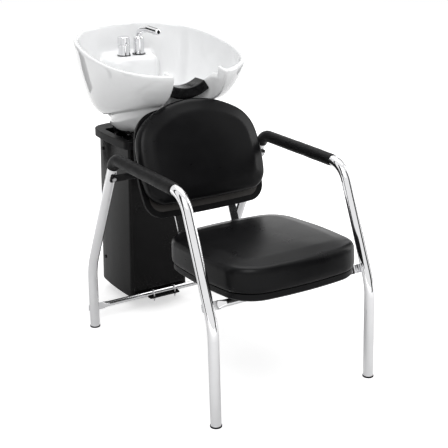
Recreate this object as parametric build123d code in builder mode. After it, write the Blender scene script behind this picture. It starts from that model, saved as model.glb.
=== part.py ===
from build123d import *
import math
import os

# Backwash unit: a chrome arm chair with padded seat and back, joined by its low
# stretcher to a column that carries a tilting ceramic shampoo bowl.
# Millimetres. The sitter faces -Y, +Z is up, the origin is on the floor under
# the middle of the unit.

# Whole unit and common fits
fit_gap = 0.2
soft_gap = 0.3
running_gap = 0.05
overrun = 60

# Side frames: one bent tube on each side
tube_d = 32
tube_wall = 1.5
frame_centre_x = 279
cap_d = 35
cap_t = 4
cap_spigot = 18
front_knee_back = 14.5
front_knee_z = 302
arm_front_back = 164.5
arm_z = 645
arm_length = 421
rear_leg_run = 198.5
column_behind_leg = 36.5
rear_knee_back = 2
rear_knee_z = 219
knee_radius = 200
arm_front_radius = 78
arm_rear_radius = 52

# Arm sleeves
sleeve_t = 4
sleeve_front_back = 47
sleeve_tail = 36

# Cross rails with flattened ends
rail_d = 22
rail_wall = 1.5
tab_h = 26
tab_t = 4
tab_over = 12
tab_length = 50
neck_length = 26
front_rail_z = 352.5
back_rail_z = 586
stretcher_d = 19
stretcher_z = 62
screw_d = 8
screw_head_d = 14
screw_head_t = 4.5
screw_grip = 8

# Seat
seat_width = 460
seat_depth = 474
seat_rear_ahead = 162
seat_corner = 105
seat_bow = 7
seat_pitch = 3.5
tray_t = 21
tray_wall = 3
tray_edge = 6
seat_pad_t = 77
seat_crown = 7
seat_draw = 6
seat_edge = 14
seat_crown_in = 62

# Backrest, in a plane that leans back
back_lean = 23.65
back_ahead = 143
back_z = 476
back_height = 325
back_raise = 36
back_top_corner = 122
back_top_corner_in = 98
back_top_corner_drop = 150
back_low_corner = 66
back_low_corner_in = 152
back_low_corner_rise = 69
back_side_radius = 460
back_pad_t = 44
back_crown = 9
back_crown_in = 45
back_draw = 5
back_edge = 13
back_shell_t = 22
shell_top_drop = 12
shell_top_corner = 100
shell_top_corner_in = 108
shell_top_corner_drop = 109
shell_low_corner = 60
shell_low_corner_in = 160
shell_low_corner_rise = 63
shell_side_radius = 560
shell_draw = 16
back_shell_wall = 3

# Bars that carry the seat and run up behind the back
bar_x = 100
bar_w = 28
bar_t = 5
bar_front = 22
bar_bend = 40
bar_top_bend = 16
bar_leave = 84
bar_above_rail = 15
bar_below_rail = 18
bolt_d = 6
bolt_head_d = 12
bolt_head_t = 3
seat_bolt_spacing = 150
seat_bolt_behind = 71
back_bolt_low = 40
back_bolt_spacing = 32

# Column
column_depth = 283
column_width = 236
column_high = 616
column_taper = 9
column_front_corner = 18
column_front_bow = 2
column_rear_corner = 54
column_rear_bow = 8
column_side_bow = 5
column_wall = 3.5
panel_depth = 81
panel_gap = 0.6
panel_screw_d = 5
panel_screw_head_d = 12
panel_screw_head_t = 3
panel_low_screw = 90
panel_high_screw = 500
collar_grow = 8
collar_t = 4
collar_skirt = 22
collar_lip = 5
collar_open_corner = 20
collar_open_rear = 67
plate_t = 4
plate_inset = 1.5
hose_hole_d = 70
tongue_w = 120
tongue_corner = 6
tongue_lip = 4
post_w = 60
post_d = 40
post_wall = 2.5
post_back = 59
head_t = 5
head_w = 144
head_z = 566
leveller_d = 44
leveller_t = 12
leveller_back = 97
leveller_stem_d = 10
leveller_nut_d = 20
leveller_nut_t = 6
u_bolt_x = 42
u_bolt_d = 5
u_bolt_tail = 8
u_nut_d = 10
u_nut_t = 4

# Tilt joint under the bowl
hinge_back = 93
hinge_z = 600
hinge_x = 62
hinge_pin_d = 10
hinge_head_d = 16
hinge_head_t = 3
hinge_boss_r = 12
ear_t = 5
ear_side_gap = 1
cradle_t = 6
cradle_w = 140
cradle_ahead = 153
cradle_behind = 15
cradle_slot_gap = 4
cradle_bolt_d = 8
cradle_bolt_head_d = 16
cradle_bolt_head_t = 4
cradle_bolt_x = 62
cradle_bolt_ahead = 109
cradle_bolt_grip = 14
bracket_t = 5
bracket_ahead = 86
bracket_behind = 30
stop_x = 50
stop_d = 16
stop_t = 14
stop_ahead = 72
bracket_screw_x = 22
bracket_screw_spacing = 22

# Bowl: oval rim and skirt, lower lobe, basin, neck notch and tap deck
rim_width = 532
rim_depth = 547
rim_back = 310.5
rim_z = 935.5
rim_slope = 0.175
rim_power = 2.48
skirt_drop = 199.5
skirt_ahead = 10.5
skirt_slope = -0.262
skirt_power = 1.84
skirt_share = 0.668
bulge_power = 1.854
bulge_root = 2.426
skirt_level_shares = (0, 0.25, 0.5, 0.75, 0.9, 1)
rim_wall = 17
bowl_wall = 12
basin_floor_share = 0.93
bowl_foot_z = 635
lobe_join_rise = 6
lobe_join_in = 12.7
lobe_mid_back = 68.5
lobe_mid_z = 690
lobe_mid_half_x = 140
lobe_mid_half_y = 160
lobe_mid_slope = -0.12
lobe_low_back = 128.5
lobe_low_z = 655
lobe_low_half_x = 110
lobe_low_half_y = 115
lobe_low_slope = -0.03
foot_centre_back = 148.5
foot_half_x = 85
foot_half_y = 90
pit_top_back = 13.5
pit_top_z = 745
pit_top_half_x = 118
pit_top_half_y = 125
pit_mid_back = 48.5
pit_mid_z = 700
pit_mid_half = 85
drain_back = 83.5
drain_seat_z = 668
drain_seat_half = 37
drain_hole_d = 46
notch_width = 184
notch_ahead = 151.5
notch_corner = 34
saddle_radius = 124.3
saddle_z = 945
deck_in = 67
deck_z = 880
deck_width = 206
deck_depth = 130
deck_t = 12
pocket_width = 124
pocket_depth = 74
pocket_ahead = 16

# Neck rest
rest_t = 9
rest_front = 28
rest_rear = 20
rest_front_drop = 27
rest_rear_drop = 10
rest_angle = 34
rest_round = 5

# Drain
flange_d = 68
flange_t = 3
drain_tube_d = 42
drain_tube_wall = 2
drain_tube_low = 598
drain_nut_d = 58
drain_nut_t = 8
gasket_t = 3
tail_wall = 2.5
tail_step = 0.8
tail_low = 550
tail_lap = 18
slip_nut_d = 48
slip_nut_t = 14
slip_nut_lip = 3
strainer_t = 2
strainer_hole_d = 6
strainer_ring_r = 12
strainer_holes = 6

# Taps
tap_x = 29
tap_ahead = 8
tap_ring_t = 2.5
tap_ring_d = 46
tap_hole_gap = 1
shank_d = 28
shank_wall = 3
shank_l = 46
tap_nut_d = 40
tap_nut_t = 7
mixer_d = 42
mixer_h = 34
turret_d = 26
turret_foot = 14
turret_top = 50
mixer_cap_low = 38
mixer_cap_top = 62
mixer_cap_wall = 3
mixer_cap_round = 2.5
mixer_pin_d = 4
mixer_pin_back = 9
mixer_pin_z = 45
thumb_w = 14
thumb_h = 6
spout_d = 37
spout_base_h = 10
spout_foot_d = 24
spout_body_top = 60
spout_body_round = 8
spout_arm_d = 22
spout_rise = 80
spout_crest = 92
spout_crest_reach = 70
spout_reach = 145
spout_tip_z = 90
spout_bend = 36
spout_mouth_reach = 121
spout_mouth_z = 80
spout_mouth_d = 18
spout_bore_d = 13
aerator_t = 4
aerator_wall = 2

os.makedirs("parts", exist_ok=True)


# Outlines drawn in the current line context
def unit(v):
    return v * (1 / v.length)


def bow_radius(edge, cross, along, corner):
    """Radius of an edge arc at distance edge, over corner circles centred at (along, cross)."""
    gap = cross - edge
    return (corner ** 2 - along ** 2 - gap ** 2) / (2 * (gap + corner))


def arc_outline(corners, joins, inset=0):
    """Closed smooth outline: corner arcs (x, y, radius) anticlockwise, joined by wide arcs."""
    touch = []
    count = len(corners)
    for i in range(count):
        x1, y1, r1 = corners[i]
        x2, y2, r2 = corners[(i + 1) % count]
        c1, c2, wide = Vector(x1, y1), Vector(x2, y2), joins[i]
        span = (c2 - c1).length
        along = unit(c2 - c1)
        inward = Vector(-along.Y, along.X)
        a = ((wide - r1) ** 2 - (wide - r2) ** 2 + span ** 2) / (2 * span)
        centre = c1 + along * a + inward * math.sqrt((wide - r1) ** 2 - a ** 2)
        t1 = centre + unit(c1 - centre) * (wide - inset)
        t2 = centre + unit(c2 - centre) * (wide - inset)
        middle = centre + unit((t1 + t2) * 0.5 - centre) * (wide - inset)
        ThreePointArc(t1, middle, t2)
        touch.append((t1, t2))
    for i in range(count):
        x2, y2, r2 = corners[(i + 1) % count]
        c2 = Vector(x2, y2)
        t2, t3 = touch[i][1], touch[(i + 1) % count][0]
        middle = c2 + unit((t2 + t3) * 0.5 - c2) * (r2 - inset)
        ThreePointArc(t2, middle, t3)


def pad_outline(half_x, half_y, corner, bow, inset=0):
    """Rounded rectangle whose four edges bow out a little."""
    in_x = half_x - bow - corner
    in_y = half_y - bow - corner
    end = bow_radius(half_y, in_y, in_x, corner)
    side = bow_radius(half_x, in_x, in_y, corner)
    corners = [(in_x, in_y, corner), (-in_x, in_y, corner),
               (-in_x, -in_y, corner), (in_x, -in_y, corner)]
    arc_outline(corners, [end, side, end, side], inset)


def oval_outline(half_x, half_y, power):
    """Squared oval of the given power: four curves through its diagonal points."""
    handle_share = (2 ** (-1 / power) - 1 / 2) * 8 / 3
    quarter = [(half_x, 0), (half_x, half_y * handle_share), (half_x * handle_share, half_y),
               (0, half_y)]
    for sign_x, sign_y, order in ((1, 1, 1), (-1, 1, -1), (-1, -1, 1), (1, -1, -1)):
        Bezier(*[(sign_x * x, sign_y * y) for x, y in quarter][::order])


def slope_plane(y, z, slope):
    """Plane across the unit at (y, z) whose height changes with y by the slope."""
    return Plane(origin=(0, y, z), x_dir=(1, 0, 0), z_dir=(0, -slope, 1))


def side_plane(x):
    """Upright plane along the unit at the given x, with local x along +Y and local y up."""
    return Plane(origin=(x, 0, 0), x_dir=(0, 1, 0), z_dir=(1, 0, 0))


def along_line(y1, z1, y2, z2, z):
    """The y on the line through two points at height z."""
    return y1 + (y2 - y1) * (z - z1) / (z2 - z1)


# Points of the side frames, in y and z, set out from the rear bend of the arm
front_reach = seat_rear_ahead + seat_depth
rear_reach = rear_leg_run + column_behind_leg + column_depth + collar_grow
arm_rear = ((front_reach - rear_reach) / 2, arm_z)
arm_front = (arm_rear[0] - arm_length, arm_z)
front_y = arm_rear[0] - front_reach
rear_y = arm_rear[0] + rear_reach - collar_grow
foot_y = arm_front[0] - arm_front_back
rear_foot_y = arm_rear[0] + rear_leg_run
rim_y = rear_y - rim_back
drain_y = rim_y + drain_back
front_knee = (foot_y + front_knee_back, front_knee_z)
rear_knee = (rear_foot_y + rear_knee_back, rear_knee_z)


def side_frame(x):
    """Bent tube: front leg, arm and rear leg in one length."""
    with BuildPart() as frame:
        with BuildLine(side_plane(x)) as path:
            FilletPolyline((foot_y, 0), front_knee, arm_front, arm_rear, rear_knee,
                           (rear_foot_y, 0),
                           radius=[knee_radius, arm_front_radius, arm_rear_radius, knee_radius])
        with BuildSketch(Plane(origin=path.line @ 0, x_dir=(1, 0, 0), z_dir=path.line % 0)):
            Circle(tube_d / 2)
            Circle(tube_d / 2 - tube_wall, mode=Mode.SUBTRACT)
        sweep()
        split(bisect_by=Plane.XY.offset(cap_t), keep=Keep.TOP)
        for plane in rail_planes:
            with BuildSketch(plane):
                with Locations((x, 0)):
                    Circle(screw_d / 2 + fit_gap)
            extrude(amount=-tube_d / 2 - tab_t, mode=Mode.SUBTRACT)
    return frame.part


def rail_plane(y, z, leg_y, leg_z, side):
    """Plane of a cross rail that lies on one side of a leg: local x across, local y up the leg."""
    up_leg = unit(Vector(0, leg_y, leg_z))
    out = up_leg.cross(Vector(1, 0, 0)) * side
    origin = Vector(0, y, z) + out * (tube_d / 2 + fit_gap + tab_t / 2)
    return Plane(origin=origin, x_dir=(1, 0, 0), z_dir=out)


front_rail_y = along_line(*front_knee, *arm_front, front_rail_z)
back_rail_y = along_line(*rear_knee, *arm_rear, back_rail_z)
stretcher_y = along_line(rear_foot_y, 0, *rear_knee, stretcher_z)
front_rail_plane = rail_plane(front_rail_y, front_rail_z, arm_front[0] - front_knee[0],
                              arm_front[1] - front_knee[1], 1)
back_rail_plane = rail_plane(back_rail_y, back_rail_z, arm_rear[0] - rear_knee[0],
                             arm_rear[1] - rear_knee[1], -1)
stretcher_plane = rail_plane(stretcher_y, stretcher_z, rear_knee_back, rear_knee_z, 1)
rail_planes = (front_rail_plane, back_rail_plane, stretcher_plane)

# Side frames, foot caps and arm sleeves
frame_left = side_frame(-frame_centre_x)
frame_left.label = "side_frame_left"
export_step(frame_left, "parts/side_frame_left.step")
frame_right = side_frame(frame_centre_x)
frame_right.label = "side_frame_right"
export_step(frame_right, "parts/side_frame_right.step")

with BuildPart() as foot_caps:
    for x in (-frame_centre_x, frame_centre_x):
        for y, knee in ((foot_y, front_knee), (rear_foot_y, rear_knee)):
            with BuildSketch():
                with Locations((x, y)):
                    Circle(cap_d / 2)
            extrude(amount=cap_t)
            leg = unit(Vector(0, knee[0] - y, knee[1]))
            with BuildSketch(Plane(origin=Vector(x, y, 0) + leg * (cap_t / 2), x_dir=(1, 0, 0),
                                   z_dir=leg)):
                Circle(tube_d / 2 - tube_wall - fit_gap)
            extrude(amount=cap_t / 2 + cap_spigot)
foot_caps.part.label = "foot_caps"
export_step(foot_caps.part, "parts/foot_caps.step")


def arm_sleeve(x):
    """Padded sleeve over the arm and round its rear bend."""
    down = unit(Vector(rear_knee[0] - arm_rear[0], rear_knee[1] - arm_rear[1]))
    tail = Vector(*arm_rear) + down * sleeve_tail
    with BuildPart() as sleeve:
        with BuildLine(side_plane(x)) as path:
            FilletPolyline((arm_front[0] + sleeve_front_back, arm_z), arm_rear,
                           (tail.X, tail.Y), radius=arm_rear_radius)
        with BuildSketch(Plane(origin=path.line @ 0, x_dir=(1, 0, 0), z_dir=path.line % 0)):
            Circle(tube_d / 2 + sleeve_t)
            Circle(tube_d / 2 + fit_gap, mode=Mode.SUBTRACT)
        sweep()
        rounds = sleeve.edges().filter_by(GeomType.CIRCLE)
        rims = ShapeList(e for e in rounds if abs(e.radius - tube_d / 2 - sleeve_t) < fit_gap)
        fillet([rims.sort_by(Axis.Y)[0], rims.sort_by(Axis.Z)[0]], sleeve_t / 2)
    return sleeve.part


sleeve_left = arm_sleeve(-frame_centre_x)
sleeve_left.label = "arm_sleeve_left"
export_step(sleeve_left, "parts/arm_sleeve_left.step")
sleeve_right = arm_sleeve(frame_centre_x)
sleeve_right.label = "arm_sleeve_right"
export_step(sleeve_right, "parts/arm_sleeve_right.step")


def cross_rail(plane, tube):
    """Cross tube whose ends are drawn down to flat tabs with a screw hole."""
    reach = frame_centre_x + tab_over
    tab_start = reach - tab_length
    neck_start = tab_start - neck_length
    across = plane.x_dir
    with BuildPart() as rail:
        with BuildSketch(Plane(origin=plane.origin, x_dir=plane.y_dir, z_dir=across)):
            Circle(tube / 2)
            Circle(tube / 2 - rail_wall, mode=Mode.SUBTRACT)
        extrude(amount=neck_start, both=True)
        for side in (-1, 1):
            for start, flat in ((neck_start, False), (tab_start, True)):
                with BuildSketch(Plane(origin=plane.origin + across * side * start,
                                       x_dir=plane.y_dir, z_dir=across * side)):
                    if flat:
                        Ellipse(tab_h / 2, tab_t / 2)
                    else:
                        Circle(tube / 2)
            loft()
            with BuildSketch(plane.offset(-tab_t / 2)):
                with Locations((side * (reach - (tab_length + tab_over) / 2), 0)):
                    RectangleRounded(tab_length + tab_over, tab_h, tab_over / 2)
            extrude(amount=tab_t)
        with BuildSketch(plane.offset(tab_t)):
            with Locations((-frame_centre_x, 0), (frame_centre_x, 0)):
                Circle(screw_d / 2 + fit_gap)
        extrude(amount=-2 * tab_t, mode=Mode.SUBTRACT)
    return rail


front_seat_rail = cross_rail(front_rail_plane, rail_d)
rear_back_rail = cross_rail(back_rail_plane, rail_d)
lower_stretcher = cross_rail(stretcher_plane, stretcher_d)
bar_hole = back_rail_plane.origin.Z
with BuildPart() as rear_back_rail_drilled:
    add(rear_back_rail.part)
    with BuildSketch(Plane(origin=(0, back_rail_plane.origin.Y, bar_hole), x_dir=(1, 0, 0),
                           z_dir=(0, -1, 0))):
        with Locations((-bar_x, 0), (bar_x, 0)):
            Circle(bolt_d / 2 + fit_gap)
    extrude(amount=rail_d, both=True, mode=Mode.SUBTRACT)
front_seat_rail.part.label = "front_seat_rail"
export_step(front_seat_rail.part, "parts/front_seat_rail.step")
rear_back_rail_drilled.part.label = "rear_back_rail"
export_step(rear_back_rail_drilled.part, "parts/rear_back_rail.step")
lower_stretcher.part.label = "lower_stretcher"
export_step(lower_stretcher.part, "parts/lower_stretcher.step")

with BuildPart() as rail_screws:
    for plane in rail_planes:
        for x in (-frame_centre_x, frame_centre_x):
            with BuildSketch(plane.offset(tab_t / 2 + fit_gap)):
                with Locations((x, 0)):
                    Circle(screw_head_d / 2)
            extrude(amount=screw_head_t)
            with BuildSketch(plane.offset(tab_t / 2 + fit_gap)):
                with Locations((x, 0)):
                    Circle(screw_d / 2)
            extrude(amount=-tab_t - fit_gap - screw_grip)
rail_screws.part.label = "rail_screws"
export_step(rail_screws.part, "parts/rail_screws.step")

# Seat, in a plane that rests on the bars over the front rail and drops to the rear
pitch = math.radians(seat_pitch)
seat_normal = Vector(0, math.sin(pitch), math.cos(pitch))
rail_top = front_rail_plane.origin + seat_normal * (rail_d / 2 + fit_gap)
tray_under = rail_top + seat_normal * (bar_t + fit_gap)
full_edge_y = front_y - math.sin(pitch) * (tray_t + seat_edge)
seat_y = full_edge_y + math.cos(pitch) * seat_depth / 2
seat_z = tray_under.Z - math.tan(pitch) * (seat_y - tray_under.Y)
seat_plane = Plane(origin=(0, seat_y, seat_z), x_dir=(1, 0, 0), z_dir=seat_normal)
half_width = seat_width / 2
half_depth = seat_depth / 2
seat_bolt_y = seat_plane.to_local_coords(rail_top).Y + seat_bolt_behind + seat_bolt_spacing / 2

with BuildPart() as seat_under_tray:
    for height, inset in ((0, tray_edge + tray_t / 4), (tray_t / 4, tray_edge), (tray_t, tray_edge)):
        with BuildSketch(seat_plane.offset(height)):
            with BuildLine():
                pad_outline(half_width, half_depth, seat_corner, seat_bow, inset)
            make_face()
    loft(ruled=True)
    with BuildSketch(seat_plane.offset(tray_wall)):
        with BuildLine():
            pad_outline(half_width, half_depth, seat_corner, seat_bow,
                        tray_edge + tray_t / 4 + tray_wall)
        make_face()
    extrude(amount=tray_t, mode=Mode.SUBTRACT)
    with BuildSketch(seat_plane):
        with Locations((0, seat_bolt_y)):
            with GridLocations(2 * bar_x, seat_bolt_spacing, 2, 2):
                Circle(bolt_d / 2 + fit_gap)
    extrude(amount=tray_wall, mode=Mode.SUBTRACT)
seat_under_tray.part.label = "seat_under_tray"
export_step(seat_under_tray.part, "parts/seat_under_tray.step")

with BuildPart() as seat_board:
    with BuildSketch(seat_plane.offset(tray_wall + fit_gap)):
        with BuildLine():
            pad_outline(half_width, half_depth, seat_corner, seat_bow,
                        tray_edge + tray_t / 4 + tray_wall + soft_gap)
        make_face()
        with Locations((0, seat_bolt_y)):
            with GridLocations(2 * bar_x, seat_bolt_spacing, 2, 2):
                Circle(bolt_d / 2 + fit_gap, mode=Mode.SUBTRACT)
    extrude(amount=tray_t - tray_wall - fit_gap)
seat_board.part.label = "seat_board"
export_step(seat_board.part, "parts/seat_board.step")

with BuildPart() as seat_cushion:
    for height, inset in ((0, seat_draw), (seat_edge / 2, seat_draw / 4), (seat_edge, 0),
                          (seat_pad_t - seat_edge, 0), (seat_pad_t - seat_edge / 4, seat_draw),
                          (seat_pad_t, seat_edge), (seat_pad_t + seat_crown, seat_crown_in)):
        with BuildSketch(seat_plane.offset(tray_t + soft_gap + height)):
            with BuildLine():
                pad_outline(half_width, half_depth, seat_corner, seat_bow, inset)
            make_face()
    loft(ruled=True)
seat_cushion.part.label = "seat_cushion"
export_step(seat_cushion.part, "parts/seat_cushion.step")

# Backrest, in a plane through its lower front edge
lean = math.radians(back_lean)
back_plane = Plane(origin=(0, arm_rear[0] - back_ahead, back_z), x_dir=(1, 0, 0),
                   z_dir=(0, -math.cos(lean), math.sin(lean)))
back_top = back_raise + back_height
back_corners = [(back_top_corner_in, back_top - back_top_corner_drop, back_top_corner),
                (-back_top_corner_in, back_top - back_top_corner_drop, back_top_corner),
                (-back_low_corner_in, back_raise + back_low_corner_rise, back_low_corner),
                (back_low_corner_in, back_raise + back_low_corner_rise, back_low_corner)]
back_joins = [bow_radius(back_top_corner_drop, 0, back_top_corner_in, back_top_corner),
              back_side_radius,
              bow_radius(back_low_corner_rise, 0, back_low_corner_in, back_low_corner),
              back_side_radius]
shell_top = back_top - shell_top_drop
shell_corners = [(shell_top_corner_in, shell_top - shell_top_corner_drop, shell_top_corner),
                 (-shell_top_corner_in, shell_top - shell_top_corner_drop, shell_top_corner),
                 (-shell_low_corner_in, shell_low_corner_rise, shell_low_corner),
                 (shell_low_corner_in, shell_low_corner_rise, shell_low_corner)]
shell_joins = [bow_radius(shell_top_corner_drop, 0, shell_top_corner_in, shell_top_corner),
               shell_side_radius,
               bow_radius(shell_low_corner_rise, 0, shell_low_corner_in, shell_low_corner),
               shell_side_radius]
back_bolt_places = [(x, back_bolt_low + step * back_bolt_spacing)
                    for x in (-bar_x, bar_x) for step in (0, 1)]

with BuildPart() as backrest_shell:
    for depth, inset in ((0, 0), (back_shell_t / 2, 0), (back_shell_t - tray_wall, shell_draw / 2),
                         (back_shell_t, shell_draw)):
        with BuildSketch(back_plane.offset(-back_pad_t - depth)):
            with BuildLine():
                arc_outline(shell_corners, shell_joins, inset)
            make_face()
    loft(ruled=True)
    with BuildSketch(back_plane.offset(-back_pad_t)):
        with BuildLine():
            arc_outline(shell_corners, shell_joins, shell_draw + back_shell_wall)
        make_face()
    extrude(amount=back_shell_wall - back_shell_t, mode=Mode.SUBTRACT)
    with BuildSketch(back_plane.offset(-back_pad_t)):
        with Locations(*back_bolt_places):
            Circle(bolt_d / 2 + fit_gap)
    extrude(amount=-back_shell_t, mode=Mode.SUBTRACT)
backrest_shell.part.label = "backrest_shell"
export_step(backrest_shell.part, "parts/backrest_shell.step")

with BuildPart() as backrest_board:
    with BuildSketch(back_plane.offset(-back_pad_t - soft_gap)):
        with BuildLine():
            arc_outline(shell_corners, shell_joins, shell_draw + back_shell_wall + soft_gap)
        make_face()
        with Locations(*back_bolt_places):
            Circle(bolt_d / 2 + fit_gap, mode=Mode.SUBTRACT)
    extrude(amount=back_shell_wall + 2 * soft_gap - back_shell_t)
backrest_board.part.label = "backrest_board"
export_step(backrest_board.part, "parts/backrest_board.step")

with BuildPart() as backrest_cushion:
    for height, inset in ((soft_gap - back_pad_t, back_draw), (back_edge - back_pad_t, 0),
                          (-back_edge, 0), (-back_edge / 4, back_draw), (0, back_edge),
                          (back_crown, back_crown_in)):
        with BuildSketch(back_plane.offset(height)):
            with BuildLine():
                arc_outline(back_corners, back_joins, inset)
            make_face()
    loft(ruled=True)
backrest_cushion.part.label = "backrest_cushion"
export_step(backrest_cushion.part, "parts/backrest_cushion.step")

# Bars that carry the seat, turn up behind the back and end on the rear rail
bar_plane = Plane(origin=rail_top + seat_normal * (bar_t / 2), x_dir=(1, 0, 0),
                  z_dir=seat_normal)
bar_start = bar_plane.from_local_coords((0, -bar_front, 0))
seat_way = bar_plane.y_dir
back_way = back_plane.y_dir
behind = back_plane.from_local_coords((0, 0, -back_pad_t - back_shell_t - fit_gap - bar_t / 2))
cross = seat_way.Y * back_way.Z - seat_way.Z * back_way.Y
reach = ((behind.Y - bar_start.Y) * back_way.Z - (behind.Z - bar_start.Z) * back_way.Y) / cross
bar_corner = bar_start + seat_way * reach
bar_leaves = behind + back_way * bar_leave
rail_front_y = back_rail_plane.origin.Y - rail_d / 2 - fit_gap - bar_t / 2
rail_z = back_rail_plane.origin.Z


def back_bar(x):
    """Flat bar: under the seat, up the back, then upright against the rear rail."""
    with BuildPart() as bar:
        with BuildLine(side_plane(x)) as path:
            FilletPolyline((bar_start.Y, bar_start.Z), (bar_corner.Y, bar_corner.Z),
                           (bar_leaves.Y, bar_leaves.Z), (rail_front_y, rail_z - bar_below_rail),
                           (rail_front_y, rail_z + bar_above_rail),
                           radius=[bar_bend, bar_top_bend, bar_top_bend])
        with BuildSketch(Plane(origin=path.line @ 0, x_dir=(1, 0, 0), z_dir=path.line % 0)):
            Rectangle(bar_w, bar_t)
        sweep()
        with BuildSketch(seat_plane.offset(-bar_t - 2 * fit_gap)):
            with Locations((x, seat_bolt_y)):
                with GridLocations(0, seat_bolt_spacing, 1, 2):
                    Circle(bolt_d / 2 + fit_gap)
        extrude(amount=2 * bar_t, mode=Mode.SUBTRACT)
        with BuildSketch(back_plane.offset(-back_pad_t - back_shell_t)):
            with Locations(*[place for place in back_bolt_places if place[0] == x]):
                Circle(bolt_d / 2 + fit_gap)
        extrude(amount=-2 * bar_t, mode=Mode.SUBTRACT)
        with BuildSketch(Plane(origin=(x, rail_front_y + bar_t, rail_z), x_dir=(1, 0, 0),
                               z_dir=(0, -1, 0))):
            Circle(bolt_d / 2 + fit_gap)
        extrude(amount=2 * bar_t, mode=Mode.SUBTRACT)
    return bar.part


bar_left = back_bar(-bar_x)
bar_left.label = "back_bar_left"
export_step(bar_left, "parts/back_bar_left.step")
bar_right = back_bar(bar_x)
bar_right.label = "back_bar_right"
export_step(bar_right, "parts/back_bar_right.step")


def bolt_points(plane, places, grip):
    """Bolts seated on a plane: heads on the outside, shanks going in by the grip."""
    with BuildPart() as bolts:
        with BuildSketch(plane):
            with Locations(*places):
                Circle(bolt_head_d / 2)
        extrude(amount=bolt_head_t)
        with BuildSketch(plane):
            with Locations(*places):
                Circle(bolt_d / 2)
        extrude(amount=-grip)
    return bolts.part


under_bars = Plane(origin=seat_plane.offset(-bar_t - 3 * fit_gap).origin, x_dir=(1, 0, 0),
                   z_dir=seat_normal * -1)
seat_bolt_places = [(x, -seat_bolt_y + step * seat_bolt_spacing / 2)
                    for x in (-bar_x, bar_x) for step in (-1, 1)]
seat_bolts = bolt_points(under_bars, seat_bolt_places, bar_t + tray_t)
seat_bolts.label = "seat_bolts"
export_step(seat_bolts, "parts/seat_bolts.step")

behind_bars = Plane(origin=back_plane.offset(-back_pad_t - back_shell_t - bar_t - 2 * fit_gap).origin,
                    x_dir=(-1, 0, 0), z_dir=back_plane.z_dir * -1)
backrest_bolts = bolt_points(behind_bars, back_bolt_places, bar_t + back_shell_t - tray_wall)
backrest_bolts.label = "backrest_bolts"
export_step(backrest_bolts, "parts/backrest_bolts.step")

ahead_of_bars = Plane(origin=(0, rail_front_y - bar_t / 2 - fit_gap, rail_z), x_dir=(1, 0, 0),
                      z_dir=(0, -1, 0))
bar_screws = bolt_points(ahead_of_bars, [(-bar_x, 0), (bar_x, 0)], bar_t + rail_d)
bar_screws.label = "bar_screws"
export_step(bar_screws, "parts/bar_screws.step")

# Base plate under the column, with a tongue under the stretcher
column_front_y = rear_y - column_depth
half_column = column_width / 2
plate_top = stretcher_plane.origin.Z - stretcher_d / 2 - fit_gap
front_centre = (half_column - column_side_bow - column_front_corner,
                column_front_y + column_front_bow + column_front_corner)
rear_centre = (half_column - column_side_bow - column_rear_corner,
               rear_y - column_rear_bow - column_rear_corner)
column_corners = [(rear_centre[0], rear_centre[1], column_rear_corner),
                  (-rear_centre[0], rear_centre[1], column_rear_corner),
                  (-front_centre[0], front_centre[1], column_front_corner),
                  (front_centre[0], front_centre[1], column_front_corner)]
side_radius = (rear_centre[1] - front_centre[1]) ** 2 / (8 * column_side_bow)
column_joins = [bow_radius(column_rear_bow + column_rear_corner, 0, rear_centre[0],
                           column_rear_corner), side_radius,
                bow_radius(column_front_bow + column_front_corner, 0, front_centre[0],
                           column_front_corner), side_radius]
leveller_y = rear_y - leveller_back
post_y = rear_y - post_back
u_bolt_reach = stretcher_d / 2 + fit_gap + u_bolt_d / 2
tongue_y = stretcher_plane.origin.Y - u_bolt_reach - u_bolt_d / 2 - tongue_lip
u_bolt_legs = [(x, stretcher_plane.origin.Y + side * u_bolt_reach)
               for x in (-u_bolt_x, u_bolt_x) for side in (-1, 1)]

with BuildPart() as base_plate:
    with BuildSketch(Plane.XY.offset(plate_top - plate_t)):
        with BuildLine():
            arc_outline(column_corners, column_joins, plate_inset)
        make_face()
        tongue_l = drain_y - tongue_y
        with Locations((0, drain_y - tongue_l / 2)):
            RectangleRounded(tongue_w, tongue_l, tongue_corner)
        with Locations((0, drain_y)):
            Circle(hose_hole_d / 2, mode=Mode.SUBTRACT)
        with Locations((0, leveller_y)):
            Circle(leveller_stem_d / 2 + fit_gap, mode=Mode.SUBTRACT)
        with Locations(*u_bolt_legs):
            Circle(u_bolt_d / 2 + fit_gap, mode=Mode.SUBTRACT)
    extrude(amount=plate_t)
base_plate.part.label = "base_plate"
export_step(base_plate.part, "parts/base_plate.step")

# U-bolts over the stretcher, with their nuts under the base plate
u_bolt_low = plate_top - plate_t - fit_gap - u_nut_t - u_bolt_tail
with BuildPart() as stretcher_clamps:
    for x in (-u_bolt_x, u_bolt_x):
        saddle = Location((x, stretcher_plane.origin.Y, stretcher_plane.origin.Z),
                          (0, 90, 0))
        with Locations(saddle):
            Torus(u_bolt_reach, u_bolt_d / 2)
    split(bisect_by=Plane.XY.offset(stretcher_plane.origin.Z), keep=Keep.TOP)
    with BuildSketch(Plane.XY.offset(u_bolt_low)):
        with Locations(*u_bolt_legs):
            Circle(u_bolt_d / 2)
    extrude(amount=stretcher_plane.origin.Z - u_bolt_low)
stretcher_clamps.part.label = "stretcher_clamps"
export_step(stretcher_clamps.part, "parts/stretcher_clamps.step")

with BuildPart() as clamp_nuts:
    with BuildSketch(Plane.XY.offset(plate_top - plate_t - fit_gap - u_nut_t)):
        with Locations(*u_bolt_legs):
            RegularPolygon(u_nut_d / 2, 6)
        with Locations(*u_bolt_legs):
            Circle(u_bolt_d / 2 + running_gap, mode=Mode.SUBTRACT)
    extrude(amount=u_nut_t)
clamp_nuts.part.label = "clamp_nuts"
export_step(clamp_nuts.part, "parts/clamp_nuts.step")

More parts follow.
